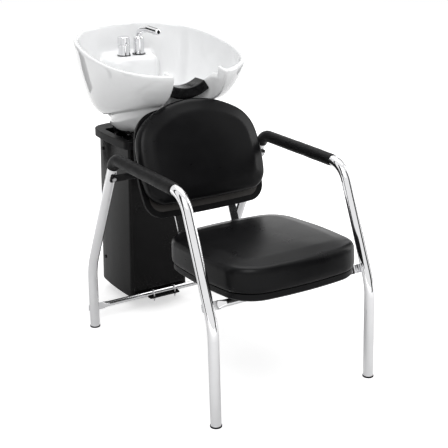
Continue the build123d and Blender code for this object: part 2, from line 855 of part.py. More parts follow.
# Levelling foot under the rear of the base plate
with BuildPart() as levelling_foot:
    with BuildSketch():
        with Locations((0, leveller_y)):
            Circle(leveller_d / 2)
    extrude(amount=leveller_t)
    fillet(levelling_foot.edges().group_by(Axis.Z)[-1], leveller_t / 4)
    with BuildSketch(Plane.XY.offset(leveller_t / 2)):
        with Locations((0, leveller_y)):
            Circle(leveller_stem_d / 2)
    extrude(amount=plate_top + 2 * leveller_nut_t - leveller_t / 2)
levelling_foot.part.label = "levelling_foot"
export_step(levelling_foot.part, "parts/levelling_foot.step")

with BuildPart() as levelling_nuts:
    for height in (plate_top - plate_t - fit_gap - leveller_nut_t, plate_top + fit_gap):
        with BuildSketch(Plane.XY.offset(height)):
            with Locations((0, leveller_y)):
                RegularPolygon(leveller_nut_d / 2, 6)
                Circle(leveller_stem_d / 2 + running_gap, mode=Mode.SUBTRACT)
        extrude(amount=leveller_nut_t)
levelling_nuts.part.label = "levelling_nuts"
export_step(levelling_nuts.part, "parts/levelling_nuts.step")

# Column: tapered shell, rear panel and collar
shell_low = plate_top + fit_gap
split_y = rear_y - panel_depth
lip = panel_depth / 5
screw_heights = (panel_low_screw, panel_high_screw)


def column_loft(inset):
    """Solid body of the column, drawn in on every side by the inset."""
    with BuildPart() as body:
        for height, taper in ((shell_low, 0), (column_high, column_taper)):
            with BuildSketch(Plane.XY.offset(height)):
                with BuildLine():
                    arc_outline(column_corners, column_joins, inset + taper)
                make_face()
        loft(ruled=True)
    return body.part


def column_ring(outside, inside, start_y, end_y):
    """Wall of the column between two insets and two places along the unit."""
    with BuildPart() as ring:
        add(column_loft(outside))
        add(column_loft(inside), mode=Mode.SUBTRACT)
        split(bisect_by=Plane(origin=(0, start_y, 0), z_dir=(0, 1, 0)), keep=Keep.TOP)
        split(bisect_by=Plane(origin=(0, end_y, 0), z_dir=(0, 1, 0)), keep=Keep.BOTTOM)
    return ring.part


column_middle_y = (front_centre[1] + rear_centre[1]) / 2
screw_y = split_y + lip / 3
screw_seats = []
for height in screw_heights:
    taper = column_taper * height / (column_high - shell_low)
    bow = (screw_y - panel_screw_head_d / 2 - column_middle_y) ** 2 / (2 * side_radius)
    for side in (-1, 1):
        origin = (side * (half_column - bow - taper + 2 * fit_gap), screw_y, shell_low + height)
        screw_seats.append(Plane(origin=origin, x_dir=(0, 1, 0), z_dir=(side, 0, 0)))

with BuildPart() as column_shell:
    add(column_ring(0, column_wall, column_front_y - overrun, split_y - panel_gap))
    add(column_ring(column_wall / 2, 2 * column_wall, split_y - lip, split_y - panel_gap))
    add(column_ring(column_wall + fit_gap, 2 * column_wall, split_y - lip, split_y + lip))
    for seat in screw_seats:
        with BuildSketch(seat):
            Circle(panel_screw_d / 2 + fit_gap)
        extrude(amount=4 * column_wall, both=True, mode=Mode.SUBTRACT)
column_shell.part.label = "column_shell"
export_step(column_shell.part, "parts/column_shell.step")

with BuildPart() as column_rear_panel:
    add(column_ring(0, column_wall, split_y, rear_y + overrun))
    for seat in screw_seats:
        with BuildSketch(seat):
            Circle(panel_screw_d / 2 + fit_gap)
        extrude(amount=4 * column_wall, both=True, mode=Mode.SUBTRACT)
column_rear_panel.part.label = "column_rear_panel"
export_step(column_rear_panel.part, "parts/column_rear_panel.step")

with BuildPart() as panel_screws:
    for seat in screw_seats:
        with BuildSketch(seat):
            Circle(panel_screw_head_d / 2)
        extrude(amount=panel_screw_head_t)
        with BuildSketch(seat):
            Circle(panel_screw_d / 2)
        extrude(amount=-3 * column_wall)
panel_screws.part.label = "panel_screws"
export_step(panel_screws.part, "parts/panel_screws.step")

collar_low = column_high + fit_gap
opening_front = column_front_y + column_taper + column_wall
opening_rear = rear_y - collar_open_rear
opening_half = half_column - column_taper - 2 * column_wall - column_side_bow
with BuildPart() as column_collar:
    with BuildSketch(Plane.XY.offset(collar_low - collar_skirt)):
        with BuildLine():
            arc_outline(column_corners, column_joins, -collar_grow)
        make_face()
    extrude(amount=collar_skirt + collar_t)
    fillet(column_collar.edges().group_by(Axis.Z)[-1], collar_t / 2)
    with BuildSketch(Plane.XY.offset(collar_low)):
        with BuildLine():
            arc_outline(column_corners, column_joins, collar_lip - collar_grow)
        make_face()
    extrude(amount=-collar_skirt, mode=Mode.SUBTRACT)
    with BuildSketch(Plane.XY.offset(collar_low)):
        with Locations((0, (opening_front + opening_rear) / 2)):
            RectangleRounded(2 * opening_half, opening_rear - opening_front, collar_open_corner)
    extrude(amount=collar_t, mode=Mode.SUBTRACT)
column_collar.part.label = "column_collar"
export_step(column_collar.part, "parts/column_collar.step")

# Post inside the column, with a head plate
with BuildPart() as column_post:
    with BuildSketch(Plane.XY.offset(shell_low)):
        with Locations((0, post_y)):
            Rectangle(post_w, post_d)
            Rectangle(post_w - 2 * post_wall, post_d - 2 * post_wall, mode=Mode.SUBTRACT)
    extrude(amount=head_z - shell_low)
    with BuildSketch(Plane.XY.offset(head_z)):
        with Locations((0, rear_y - hinge_back + (bracket_behind - bracket_ahead) / 2)):
            Rectangle(head_w, bracket_ahead + bracket_behind)
        with Locations((0, post_y)):
            Rectangle(post_w, post_d)
            with GridLocations(2 * bracket_screw_x, 0, 2, 1):
                Circle(bolt_d / 2 + fit_gap, mode=Mode.SUBTRACT)
    extrude(amount=head_t)
column_post.part.label = "column_post"
export_step(column_post.part, "parts/column_post.step")

# Tilt joint: fixed bracket on the head plate, cradle under the bowl
hinge_y = rear_y - hinge_back
floor_z = head_z + head_t + fit_gap
stop_y = hinge_y - stop_ahead
cradle_under = bowl_foot_z - gasket_t - cradle_t - 2 * fit_gap
deck_y = rim_y + rim_depth / 2 - deck_in
tap_y = deck_y - tap_ahead
pocket_y = deck_y - pocket_ahead
notch_y = rim_y - notch_ahead
ear_x = hinge_x - ear_t - ear_side_gap
stop_low = cradle_under - fit_gap - stop_t

with BuildPart() as tilt_bracket:
    with BuildSketch(Plane.XY.offset(floor_z)):
        with Locations((0, hinge_y + (bracket_behind - bracket_ahead) / 2)):
            Rectangle(head_w, bracket_ahead + bracket_behind)
        with Locations((0, post_y)):
            with GridLocations(2 * bracket_screw_x, 0, 2, 1):
                Circle(bolt_d / 2 + fit_gap, mode=Mode.SUBTRACT)
    extrude(amount=bracket_t)
    for side in (-1, 1):
        with BuildSketch(side_plane(side * ear_x)):
            with Locations((hinge_y, (hinge_z + floor_z) / 2)):
                Rectangle(2 * hinge_boss_r, hinge_z - floor_z)
            with Locations((hinge_y, hinge_z)):
                Circle(hinge_boss_r)
                Circle(hinge_pin_d / 2 + running_gap, mode=Mode.SUBTRACT)
        extrude(amount=ear_t / 2, both=True)
    with BuildSketch(Plane.XY.offset(floor_z)):
        with Locations((-stop_x, stop_y), (stop_x, stop_y)):
            Circle(stop_d / 2)
    extrude(amount=stop_low - fit_gap - floor_z)
tilt_bracket.part.label = "tilt_bracket"
export_step(tilt_bracket.part, "parts/tilt_bracket.step")

bracket_screws = bolt_points(Plane.XY.offset(floor_z + bracket_t + fit_gap),
                             [(-bracket_screw_x, post_y), (bracket_screw_x, post_y)],
                             bracket_t + head_t + 2 * fit_gap)
bracket_screws.label = "bracket_screws"
export_step(bracket_screws, "parts/bracket_screws.step")

with BuildPart() as tilt_stops:
    with BuildSketch(Plane.XY.offset(stop_low)):
        with Locations((-stop_x, stop_y), (stop_x, stop_y)):
            Circle(stop_d / 2)
    extrude(amount=stop_t)
tilt_stops.part.label = "tilt_stops"
export_step(tilt_stops.part, "parts/tilt_stops.step")

with BuildPart() as tilt_pins:
    for side in (-1, 1):
        inner_end = ear_x - ear_t / 2 - hinge_head_t / 2
        outer_end = hinge_x + ear_t / 2 + ear_side_gap
        with BuildSketch(Plane(origin=(side * inner_end, hinge_y, hinge_z), x_dir=(0, 1, 0),
                               z_dir=(side, 0, 0))):
            Circle(hinge_pin_d / 2)
        extrude(amount=outer_end - inner_end)
        with BuildSketch(Plane(origin=(side * outer_end, hinge_y, hinge_z), x_dir=(0, 1, 0),
                               z_dir=(side, 0, 0))):
            Circle(hinge_head_d / 2)
        extrude(amount=hinge_head_t)
tilt_pins.part.label = "tilt_pins"
export_step(tilt_pins.part, "parts/tilt_pins.step")

cradle_front = hinge_y - cradle_ahead
cradle_rear = hinge_y + cradle_behind
cradle_bolt_places = [(x, hinge_y - cradle_bolt_ahead) for x in (-cradle_bolt_x, cradle_bolt_x)]
pocket_end = pocket_y + pocket_depth / 2
drain_slot = drain_nut_d / 2 + cradle_slot_gap
foot_y_centre = rim_y + foot_centre_back


def tilt_slots():
    """Openings for the drain nut, from the front edge, and for the tap tails."""
    with BuildSketch() as slots:
        with Locations((0, drain_y)):
            Circle(drain_slot)
        with Locations((0, (drain_y + cradle_front - overrun) / 2)):
            Rectangle(2 * drain_slot, drain_y - cradle_front + overrun)
        with Locations((0, (drain_y + drain_slot + cradle_slot_gap + pocket_end) / 2)):
            RectangleRounded(pocket_width * 2 / 3, pocket_end - drain_y - drain_slot
                             - cradle_slot_gap, cradle_slot_gap * 3)
    return slots.sketch


slots = tilt_slots()
with BuildPart() as tilt_cradle:
    with BuildSketch(Plane.XY.offset(cradle_under)):
        with Locations((0, (cradle_front + cradle_rear) / 2)):
            RectangleRounded(cradle_w, cradle_rear - cradle_front, hinge_boss_r)
        add(slots, mode=Mode.SUBTRACT)
        with Locations(*cradle_bolt_places):
            Circle(cradle_bolt_d / 2 + fit_gap, mode=Mode.SUBTRACT)
    extrude(amount=cradle_t)
    for side in (-1, 1):
        with BuildSketch(side_plane(side * hinge_x)):
            with Locations((hinge_y, (hinge_z + cradle_under) / 2)):
                Rectangle(2 * hinge_boss_r, cradle_under - hinge_z)
            with Locations((hinge_y, hinge_z)):
                Circle(hinge_boss_r)
                Circle(hinge_pin_d / 2 + running_gap, mode=Mode.SUBTRACT)
        extrude(amount=ear_t / 2, both=True)
tilt_cradle.part.label = "tilt_cradle"
export_step(tilt_cradle.part, "parts/tilt_cradle.step")

with BuildPart() as cradle_gasket:
    with BuildSketch(Plane.XY.offset(bowl_foot_z - gasket_t - fit_gap)):
        with Locations((0, (cradle_front + cradle_rear) / 2)):
            RectangleRounded(cradle_w, cradle_rear - cradle_front, hinge_boss_r)
        add(slots, mode=Mode.SUBTRACT)
        with Locations(*cradle_bolt_places):
            Circle(cradle_bolt_d / 2 + fit_gap, mode=Mode.SUBTRACT)
    extrude(amount=gasket_t)
cradle_gasket.part.label = "cradle_gasket"
export_step(cradle_gasket.part, "parts/cradle_gasket.step")

with BuildPart() as cradle_bolts:
    with BuildSketch(Plane.XY.offset(cradle_under - fit_gap)):
        with Locations(*cradle_bolt_places):
            Circle(cradle_bolt_head_d / 2)
    extrude(amount=-cradle_bolt_head_t)
    with BuildSketch(Plane.XY.offset(cradle_under - fit_gap)):
        with Locations(*cradle_bolt_places):
            Circle(cradle_bolt_d / 2)
    extrude(amount=bowl_foot_z - cradle_under + cradle_bolt_grip)
cradle_bolts.part.label = "cradle_bolts"
export_step(cradle_bolts.part, "parts/cradle_bolts.step")

# Bowl: glazed shell with a flared skirt, a lower lobe, a basin and a tap deck
def skirt_level(share):
    """Centre, half sizes, slope and squareness of the skirt, share 0 at the rim, 1 at the fold."""
    flare = (1 - share ** bulge_power) ** (1 / bulge_root) if share < 1 else 0
    size = skirt_share + (1 - skirt_share) * flare
    slope = rim_slope + share * (skirt_slope - rim_slope)
    power = rim_power + share * (skirt_power - rim_power)
    plane = slope_plane(rim_y - share * skirt_ahead, rim_z - share * skirt_drop, slope)
    stretch = math.sqrt(1 + slope * slope)
    return plane, size * rim_width / 2, size * stretch * rim_depth / 2, power


def slope_oval(y, z, slope, half_x, half_y):
    """Plane and in-plane half sizes of an oval whose plan sizes are given."""
    return slope_plane(y, z, slope), half_x, half_y * math.sqrt(1 + slope * slope)


def oval_body(levels, power):
    """Loft through ovals of one squareness."""
    with BuildPart() as body:
        for plane, half_x, half_y in levels:
            with BuildSketch(plane):
                with BuildLine():
                    oval_outline(half_x, half_y, power)
                make_face()
        loft()
    return body.part


saddle_axis = Axis((0, 0, saddle_z), (0, 1, 0))
front_lobe_low = saddle_radius + rest_front_drop


def rest_plane(angle):
    """Plane through the saddle axis, turned to one side: local x along +Y, y outwards."""
    turn = math.radians(angle)
    return Plane(origin=(0, 0, saddle_z), x_dir=(0, 1, 0),
                 z_dir=(-math.cos(turn), 0, -math.sin(turn)))


def block(width, front, back, low, high, corner):
    """Upright block between two places along the unit, with rounded rear corners."""
    with BuildPart() as body:
        with BuildSketch(Plane.XY.offset(low)):
            with Locations((0, (front + back) / 2)):
                RectangleRounded(width, back - front, corner)
        extrude(amount=high - low)
    return body.part


fold_y = rim_y - skirt_ahead
fold_z = rim_z - skirt_drop
fold_half_x = skirt_share * rim_width / 2
fold_half_y = skirt_share * rim_depth / 2
lower_lobe = oval_body([
    slope_oval(fold_y, fold_z + lobe_join_rise, skirt_slope, fold_half_x - lobe_join_in,
               fold_half_y - lobe_join_in),
    slope_oval(rim_y + lobe_mid_back, lobe_mid_z, lobe_mid_slope, lobe_mid_half_x,
               lobe_mid_half_y),
    slope_oval(rim_y + lobe_low_back, lobe_low_z, lobe_low_slope, lobe_low_half_x,
               lobe_low_half_y),
    slope_oval(foot_y_centre, bowl_foot_z, 0, foot_half_x, foot_half_y)], skirt_power)
basin_pit = oval_body([
    slope_oval(rim_y + pit_top_back, pit_top_z + bowl_wall, skirt_slope, pit_top_half_x,
               pit_top_half_y),
    slope_oval(rim_y + pit_top_back, pit_top_z, skirt_slope, pit_top_half_x, pit_top_half_y),
    slope_oval(rim_y + pit_mid_back, pit_mid_z, lobe_mid_slope, pit_mid_half, pit_mid_half),
    slope_oval(drain_y, drain_seat_z, 0, drain_seat_half, drain_seat_half)], skirt_power)

with BuildPart() as deck_boss:
    with BuildSketch(slope_plane(deck_y, bowl_foot_z, 0)):
        with BuildLine():
            oval_outline(deck_width / 2, deck_depth / 2, rim_power)
        make_face()
    extrude(amount=deck_z - bowl_foot_z)

with BuildPart() as basin_space:
    for share in skirt_level_shares:
        level = share * basin_floor_share
        plane, half_x, half_y, power = skirt_level(level)
        inset = rim_wall + (bowl_wall - rim_wall) * level
        with BuildSketch(plane):
            with BuildLine():
                oval_outline(half_x - inset, half_y - inset, power)
            make_face()
    loft()
    plane, half_x, half_y, power = skirt_level(0)
    with BuildSketch(plane):
        with BuildLine():
            oval_outline(half_x - rim_wall, half_y - rim_wall, power)
        make_face()
    extrude(amount=overrun)
    add(basin_pit)
    add(block(notch_width + 2 * bowl_wall, rim_y - rim_depth, notch_y + bowl_wall,
              bowl_foot_z, rim_z + rim_depth / 2, notch_corner + bowl_wall), mode=Mode.SUBTRACT)
    add(deck_boss.part, mode=Mode.SUBTRACT)

with BuildPart() as bowl:
    for share in skirt_level_shares:
        plane, half_x, half_y, power = skirt_level(share)
        with BuildSketch(plane):
            with BuildLine():
                oval_outline(half_x, half_y, power)
            make_face()
    loft()
    add(lower_lobe)
    add(block(notch_width, rim_y - rim_depth, notch_y, bowl_foot_z - overrun,
              rim_z + rim_depth / 2, notch_corner), mode=Mode.SUBTRACT)
    add(basin_space.part, mode=Mode.SUBTRACT)
    with BuildSketch(Plane(origin=(0, notch_y - overrun, saddle_z), x_dir=(1, 0, 0),
                           z_dir=(0, 1, 0))):
        Circle(saddle_radius)
    extrude(amount=2 * overrun + bowl_wall, mode=Mode.SUBTRACT)
    recess_angle = rest_angle + math.degrees(2 * soft_gap / saddle_radius)
    with BuildSketch(rest_plane(recess_angle)):
        with BuildLine():
            Polyline((notch_y - rest_front - soft_gap, saddle_radius - rest_t),
                     (notch_y, saddle_radius - rest_t),
                     (notch_y, front_lobe_low + soft_gap),
                     (notch_y - rest_front - soft_gap, front_lobe_low + soft_gap), close=True)
        make_face()
    revolve(axis=saddle_axis, revolution_arc=2 * recess_angle, mode=Mode.SUBTRACT)
    with BuildSketch(slope_plane(pocket_y, bowl_foot_z, 0)):
        with BuildLine():
            oval_outline(pocket_width / 2, pocket_depth / 2, rim_power)
        make_face()
    extrude(amount=deck_z - deck_t - bowl_foot_z, mode=Mode.SUBTRACT)
    with BuildSketch(Plane.XY.offset(deck_z)):
        with Locations((-tap_x, tap_y), (tap_x, tap_y)):
            Circle((shank_d + tap_hole_gap) / 2)
    extrude(amount=-deck_t, mode=Mode.SUBTRACT)
    with BuildSketch(Plane.XY.offset(bowl_foot_z)):
        with Locations((0, drain_y)):
            Circle(drain_hole_d / 2)
    extrude(amount=drain_seat_z - bowl_foot_z, mode=Mode.SUBTRACT)
    with BuildSketch(Plane.XY.offset(bowl_foot_z)):
        with Locations(*cradle_bolt_places):
            Circle(cradle_bolt_d / 2 + fit_gap)
    extrude(amount=cradle_bolt_grip + fit_gap, mode=Mode.SUBTRACT)
bowl.part.label = "bowl"
export_step(bowl.part, "parts/bowl.step")

# Neck rest: a rubber saddle over the front wall of the basin
wall_rear = notch_y + bowl_wall
saddle_in = saddle_radius - soft_gap
rest_low = saddle_radius - rest_t
rest_start = notch_y - rest_front
rest_end = wall_rear + rest_rear
with BuildPart() as neck_rest:
    with BuildSketch(rest_plane(rest_angle)) as profile:
        with BuildLine():
            Polyline((rest_start, rest_low), (rest_end, rest_low),
                     (rest_end, saddle_radius + rest_rear_drop),
                     (wall_rear + soft_gap, saddle_radius + rest_rear_drop),
                     (wall_rear + soft_gap, saddle_in), (notch_y - soft_gap, saddle_in),
                     (notch_y - soft_gap, front_lobe_low), (rest_start, front_lobe_low),
                     close=True)
        make_face()
        across = profile.vertices().group_by(Axis.X)
        fillet(across[0] + across[-1], rest_round)
    revolve(axis=saddle_axis, revolution_arc=2 * rest_angle)
neck_rest.part.label = "neck_rest"
export_step(neck_rest.part, "parts/neck_rest.step")

# Drain through the foot of the bowl
drain_place = (0, drain_y)


def ring_part(low, height, outer, inner):
    """Plain ring about the drain."""
    with BuildPart() as ring:
        with BuildSketch(Plane.XY.offset(low)):
            with Locations(drain_place):
                Circle(outer)
                Circle(inner, mode=Mode.SUBTRACT)
        extrude(amount=height)
    return ring.part


tube_outer = drain_tube_d / 2
tube_inner = tube_outer - drain_tube_wall
seat_low = drain_seat_z + fit_gap
with BuildPart() as drain_flange:
    with BuildSketch(Plane.XY.offset(seat_low)):
        with Locations(drain_place):
            Circle(flange_d / 2)
    extrude(amount=flange_t)
    fillet(drain_flange.edges().group_by(Axis.Z)[-1], flange_t / 3)
    with BuildSketch(Plane.XY.offset(seat_low)):
        with Locations(drain_place):
            Circle(tube_outer)
    extrude(amount=drain_tube_low - seat_low)
    with BuildSketch(Plane.XY.offset(seat_low + flange_t)):
        with Locations(drain_place):
            Circle(tube_inner)
    extrude(amount=drain_tube_low - seat_low - flange_t, mode=Mode.SUBTRACT)
    with BuildSketch(Plane.XY.offset(seat_low + flange_t - strainer_t)):
        with Locations(drain_place):
            Circle(tube_outer)
    extrude(amount=strainer_t, mode=Mode.SUBTRACT)
drain_flange.part.label = "drain_flange"
export_step(drain_flange.part, "parts/drain_flange.step")

with BuildPart() as drain_strainer:
    with BuildSketch(Plane.XY.offset(seat_low + flange_t - strainer_t)):
        with Locations(drain_place):
            Circle(tube_outer - fit_gap)
            Circle(strainer_hole_d / 2, mode=Mode.SUBTRACT)
            with PolarLocations(strainer_ring_r, strainer_holes):
                Circle(strainer_hole_d / 2, mode=Mode.SUBTRACT)
    extrude(amount=strainer_t)
drain_strainer.part.label = "drain_strainer"
export_step(drain_strainer.part, "parts/drain_strainer.step")

gasket_low = bowl_foot_z - gasket_t - fit_gap
drain_gasket = ring_part(gasket_low, gasket_t, drain_nut_d / 2, tube_outer + fit_gap)
drain_gasket.label = "drain_gasket"
export_step(drain_gasket, "parts/drain_gasket.step")

with BuildPart() as drain_nut:
    with BuildSketch(Plane.XY.offset(gasket_low - fit_gap)):
        with Locations(drain_place):
            RegularPolygon(drain_nut_d / 2, 8)
            Circle(tube_outer + running_gap, mode=Mode.SUBTRACT)
    extrude(amount=-drain_nut_t)
drain_nut.part.label = "drain_nut"
export_step(drain_nut.part, "parts/drain_nut.step")

tail_outer = tube_inner - fit_gap
slip_low = drain_tube_low - slip_nut_lip - fit_gap
spigot_top = slip_low - slip_nut_lip
with BuildPart() as drain_tailpiece:
    with BuildSketch(Plane.XY.offset(tail_low)):
        with Locations(drain_place):
            Circle(tail_outer - tail_step)
    extrude(amount=spigot_top - tail_low)
    with BuildSketch(Plane.XY.offset(spigot_top)):
        with Locations(drain_place):
            Circle(tail_outer)
    extrude(amount=drain_tube_low + tail_lap - spigot_top)
    with BuildSketch(Plane.XY.offset(tail_low)):
        with Locations(drain_place):
            Circle(tail_outer - tail_wall)
    extrude(amount=drain_tube_low + tail_lap - tail_low, mode=Mode.SUBTRACT)
drain_tailpiece.part.label = "drain_tailpiece"
export_step(drain_tailpiece.part, "parts/drain_tailpiece.step")

with BuildPart() as drain_slip_nut:
    with BuildSketch(Plane.XY.offset(slip_low)):
        with Locations(drain_place):
            Circle(slip_nut_d / 2)
            Circle(tail_outer + running_gap, mode=Mode.SUBTRACT)
    extrude(amount=slip_nut_t)
    with BuildSketch(Plane.XY.offset(drain_tube_low - fit_gap)):
        with Locations(drain_place):
            Circle(tube_outer + running_gap)
    extrude(amount=slip_nut_t, mode=Mode.SUBTRACT)
drain_slip_nut.part.label = "drain_slip_nut"
export_step(drain_slip_nut.part, "parts/drain_slip_nut.step")

# Taps on the deck: a lever mixer on the left and a swivel spout on the right
mixer_place = (-tap_x, tap_y)
spout_place = (tap_x, tap_y)
ring_low = deck_z + fit_gap
tap_low = ring_low + tap_ring_t + fit_gap
nut_top = deck_z - deck_t - fit_gap


def tap_ring(place):
    """Flat gasket under a tap."""
    with BuildPart() as ring:
        with BuildSketch(Plane.XY.offset(ring_low)):
            with Locations(place):
                Circle(tap_ring_d / 2)
                Circle(shank_d / 2 + fit_gap, mode=Mode.SUBTRACT)
        extrude(amount=tap_ring_t)
    return ring.part


def tap_nut(place):
    """Back nut under the deck."""
    with BuildPart() as nut:
        with BuildSketch(Plane.XY.offset(nut_top)):
            with Locations(place):
                RegularPolygon(tap_nut_d / 2, 6)
                Circle(shank_d / 2 + running_gap, mode=Mode.SUBTRACT)
        extrude(amount=-tap_nut_t)
    return nut.part


def tap_base(place, outer, height, bore, bore_depth):
    """Tap body above the deck with its hollow shank below."""
    with BuildPart() as body:
        with BuildSketch(Plane.XY.offset(tap_low)):
            with Locations(place):
                Circle(outer)
        extrude(amount=height)
        fillet(body.edges().group_by(Axis.Z)[-1], tap_ring_t / 2)
        with BuildSketch(Plane.XY.offset(tap_low)):
            with Locations(place):
                Circle(shank_d / 2)
        extrude(amount=-shank_l)
        with BuildSketch(Plane.XY.offset(tap_low + height)):
            with Locations(place):
                Circle(bore)
        extrude(amount=-bore_depth, mode=Mode.SUBTRACT)
        with BuildSketch(Plane.XY.offset(tap_low - shank_l)):
            with Locations(place):
                Circle(shank_d / 2 - shank_wall)
        extrude(amount=shank_l, mode=Mode.SUBTRACT)
    return body.part


mixer_gasket = tap_ring(mixer_place)
mixer_gasket.label = "mixer_gasket"
export_step(mixer_gasket, "parts/mixer_gasket.step")
mixer_nut = tap_nut(mixer_place)
mixer_nut.label = "mixer_nut"
export_step(mixer_nut, "parts/mixer_nut.step")
mixer_body = tap_base(mixer_place, mixer_d / 2, mixer_h, turret_d / 2 + running_gap,
                      turret_foot + fit_gap)
mixer_body.label = "mixer_body"
export_step(mixer_body, "parts/mixer_body.step")

turret_low = tap_low + mixer_h - turret_foot
pin_y = tap_y + mixer_pin_back
pin_height = tap_low + mixer_pin_z
pin_plane = Plane(origin=(-tap_x, pin_y, pin_height), x_dir=(0, 1, 0), z_dir=(1, 0, 0))
with BuildPart() as mixer_turret:
    with BuildSketch(Plane.XY.offset(turret_low)):
        with Locations(mixer_place):
            Circle(turret_d / 2)
    extrude(amount=turret_top - mixer_h + turret_foot)
    with BuildSketch(pin_plane):
        Circle(mixer_pin_d / 2 + running_gap)
    extrude(amount=turret_d / 2, both=True, mode=Mode.SUBTRACT)
mixer_turret.part.label = "mixer_turret"
export_step(mixer_turret.part, "parts/mixer_turret.step")

cap_inner = mixer_d / 2 - mixer_cap_wall
pin_reach = math.sqrt((mixer_d / 2) ** 2 - mixer_pin_back ** 2) - fit_gap
with BuildPart() as mixer_pin:
    with BuildSketch(pin_plane):
        Circle(mixer_pin_d / 2)
    extrude(amount=pin_reach - mixer_cap_wall / 2, both=True)
mixer_pin.part.label = "mixer_pin"
export_step(mixer_pin.part, "parts/mixer_pin.step")

with BuildPart() as mixer_cap:
    with BuildSketch(Plane.XY.offset(tap_low + mixer_cap_low)):
        with Locations(mixer_place):
            Circle(mixer_d / 2)
    extrude(amount=mixer_cap_top - mixer_cap_low)
    fillet(mixer_cap.edges().group_by(Axis.Z)[-1], mixer_cap_round)
    with BuildSketch(Plane.XY.offset(tap_low + mixer_cap_low)):
        with Locations(mixer_place):
            Circle(cap_inner)
    extrude(amount=mixer_cap_top - mixer_cap_low - mixer_cap_wall, mode=Mode.SUBTRACT)
    with BuildSketch(pin_plane):
        Circle(mixer_pin_d / 2 + running_gap)
    extrude(amount=mixer_d, both=True, mode=Mode.SUBTRACT)
    with BuildSketch(Plane(origin=(-tap_x, tap_y, tap_low + mixer_cap_low), x_dir=(1, 0, 0),
                           z_dir=(0, -1, 0))):
        with Locations((0, thumb_h / 2)):
            Rectangle(thumb_w, thumb_h)
    extrude(amount=mixer_d, mode=Mode.SUBTRACT)
mixer_cap.part.label = "mixer_cap"
export_step(mixer_cap.part, "parts/mixer_cap.step")

spout_gasket = tap_ring(spout_place)
spout_gasket.label = "spout_gasket"
export_step(spout_gasket, "parts/spout_gasket.step")
spout_nut = tap_nut(spout_place)
spout_nut.label = "spout_nut"
export_step(spout_nut, "parts/spout_nut.step")
spout_base = tap_base(spout_place, spout_d / 2, spout_base_h,
                      spout_foot_d / 2 + running_gap, spout_base_h)
spout_base.label = "spout_base"
export_step(spout_base, "parts/spout_base.step")

body_low = tap_low + spout_base_h + fit_gap
mouth_z = tap_low + spout_mouth_z
mouth_place = (tap_x, tap_y - spout_mouth_reach)
with BuildPart() as spout:
    with BuildSketch(Plane.XY.offset(tap_low + fit_gap)):
        with Locations(spout_place):
            Circle(spout_foot_d / 2)
    extrude(amount=spout_base_h)
    with BuildSketch(Plane.XY.offset(body_low)):
        with Locations(spout_place):
            Circle(spout_d / 2)
    extrude(amount=tap_low + spout_body_top - body_low)
    fillet(spout.edges().group_by(Axis.Z)[-1], spout_body_round)
    with BuildLine(side_plane(tap_x)) as route:
        FilletPolyline((tap_y, tap_low + spout_base_h), (tap_y, tap_low + spout_rise),
                       (tap_y - spout_crest_reach, tap_low + spout_crest),
                       (tap_y - spout_reach, tap_low + spout_tip_z),
                       radius=[spout_bend, spout_bend])
    with BuildSketch(Plane(origin=route.line @ 0, x_dir=(1, 0, 0), z_dir=route.line % 0)):
        Circle(spout_arm_d / 2)
    sweep()
    fillet(spout.edges().group_by(Axis.Y)[0], spout_arm_d / 4)
    with BuildSketch(Plane.XY.offset(mouth_z)):
        with Locations(mouth_place):
            Circle(spout_mouth_d / 2)
    extrude(amount=tap_low + spout_tip_z - mouth_z)
    with BuildSketch(Plane.XY.offset(mouth_z)):
        with Locations(mouth_place):
            Circle(spout_bore_d / 2)
    extrude(amount=tap_low + spout_tip_z - mouth_z, mode=Mode.SUBTRACT)
spout.part.label = "spout"
export_step(spout.part, "parts/spout.step")

with BuildPart() as spout_aerator:
    with BuildSketch(Plane.XY.offset(mouth_z)):
        with Locations(mouth_place):
            Circle(spout_bore_d / 2 - fit_gap)
            Circle(spout_bore_d / 2 - fit_gap - aerator_wall, mode=Mode.SUBTRACT)
    extrude(amount=aerator_t)
    with BuildSketch(Plane.XY.offset(mouth_z + aerator_t / 2)):
        with Locations(mouth_place):
            Circle(spout_bore_d / 2 - fit_gap)
    extrude(amount=aerator_t / 4)
spout_aerator.part.label = "spout_aerator"
export_step(spout_aerator.part, "parts/spout_aerator.step")
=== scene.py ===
import math

import bmesh
import bpy
import numpy as np
from bpy.props import FloatProperty, FloatVectorProperty, IntProperty, PointerProperty
from mathutils import Matrix, Vector, noise


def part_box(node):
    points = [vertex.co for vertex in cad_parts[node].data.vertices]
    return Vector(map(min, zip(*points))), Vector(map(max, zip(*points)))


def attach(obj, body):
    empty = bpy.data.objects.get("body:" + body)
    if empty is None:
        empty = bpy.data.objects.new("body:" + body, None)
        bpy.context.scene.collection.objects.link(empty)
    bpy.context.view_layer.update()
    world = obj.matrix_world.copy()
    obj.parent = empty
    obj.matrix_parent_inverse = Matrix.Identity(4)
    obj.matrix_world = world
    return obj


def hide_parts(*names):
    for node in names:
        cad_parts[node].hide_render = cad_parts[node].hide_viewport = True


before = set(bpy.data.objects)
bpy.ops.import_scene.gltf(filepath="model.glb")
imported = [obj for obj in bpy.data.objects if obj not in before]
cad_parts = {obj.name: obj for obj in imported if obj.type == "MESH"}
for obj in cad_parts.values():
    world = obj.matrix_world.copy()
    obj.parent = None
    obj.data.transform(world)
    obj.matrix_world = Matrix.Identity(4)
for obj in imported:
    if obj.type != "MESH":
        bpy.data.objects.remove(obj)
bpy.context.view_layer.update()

bl_info = {
    "name": "Backwash unit",
    "version": (1, 0, 0),
    "blender": (4, 5, 0),
    "location": "3D View > Sidebar > Backwash",
    "description": "Upholstery, glazed bowl and finishes on the backwash unit's frame",
    "category": "Object",
}

STEEL = ("side_frame_left", "side_frame_right", "front_seat_rail", "lower_stretcher",
         "back_bar_left", "back_bar_right")

# Sockets of a Mix node by index, because their names repeat for each type
FACTOR = 0
VALUE_A, VALUE_B, VALUE_OUT = 2, 3, 0
COLOUR_A, COLOUR_B, COLOUR_OUT = 6, 7, 2

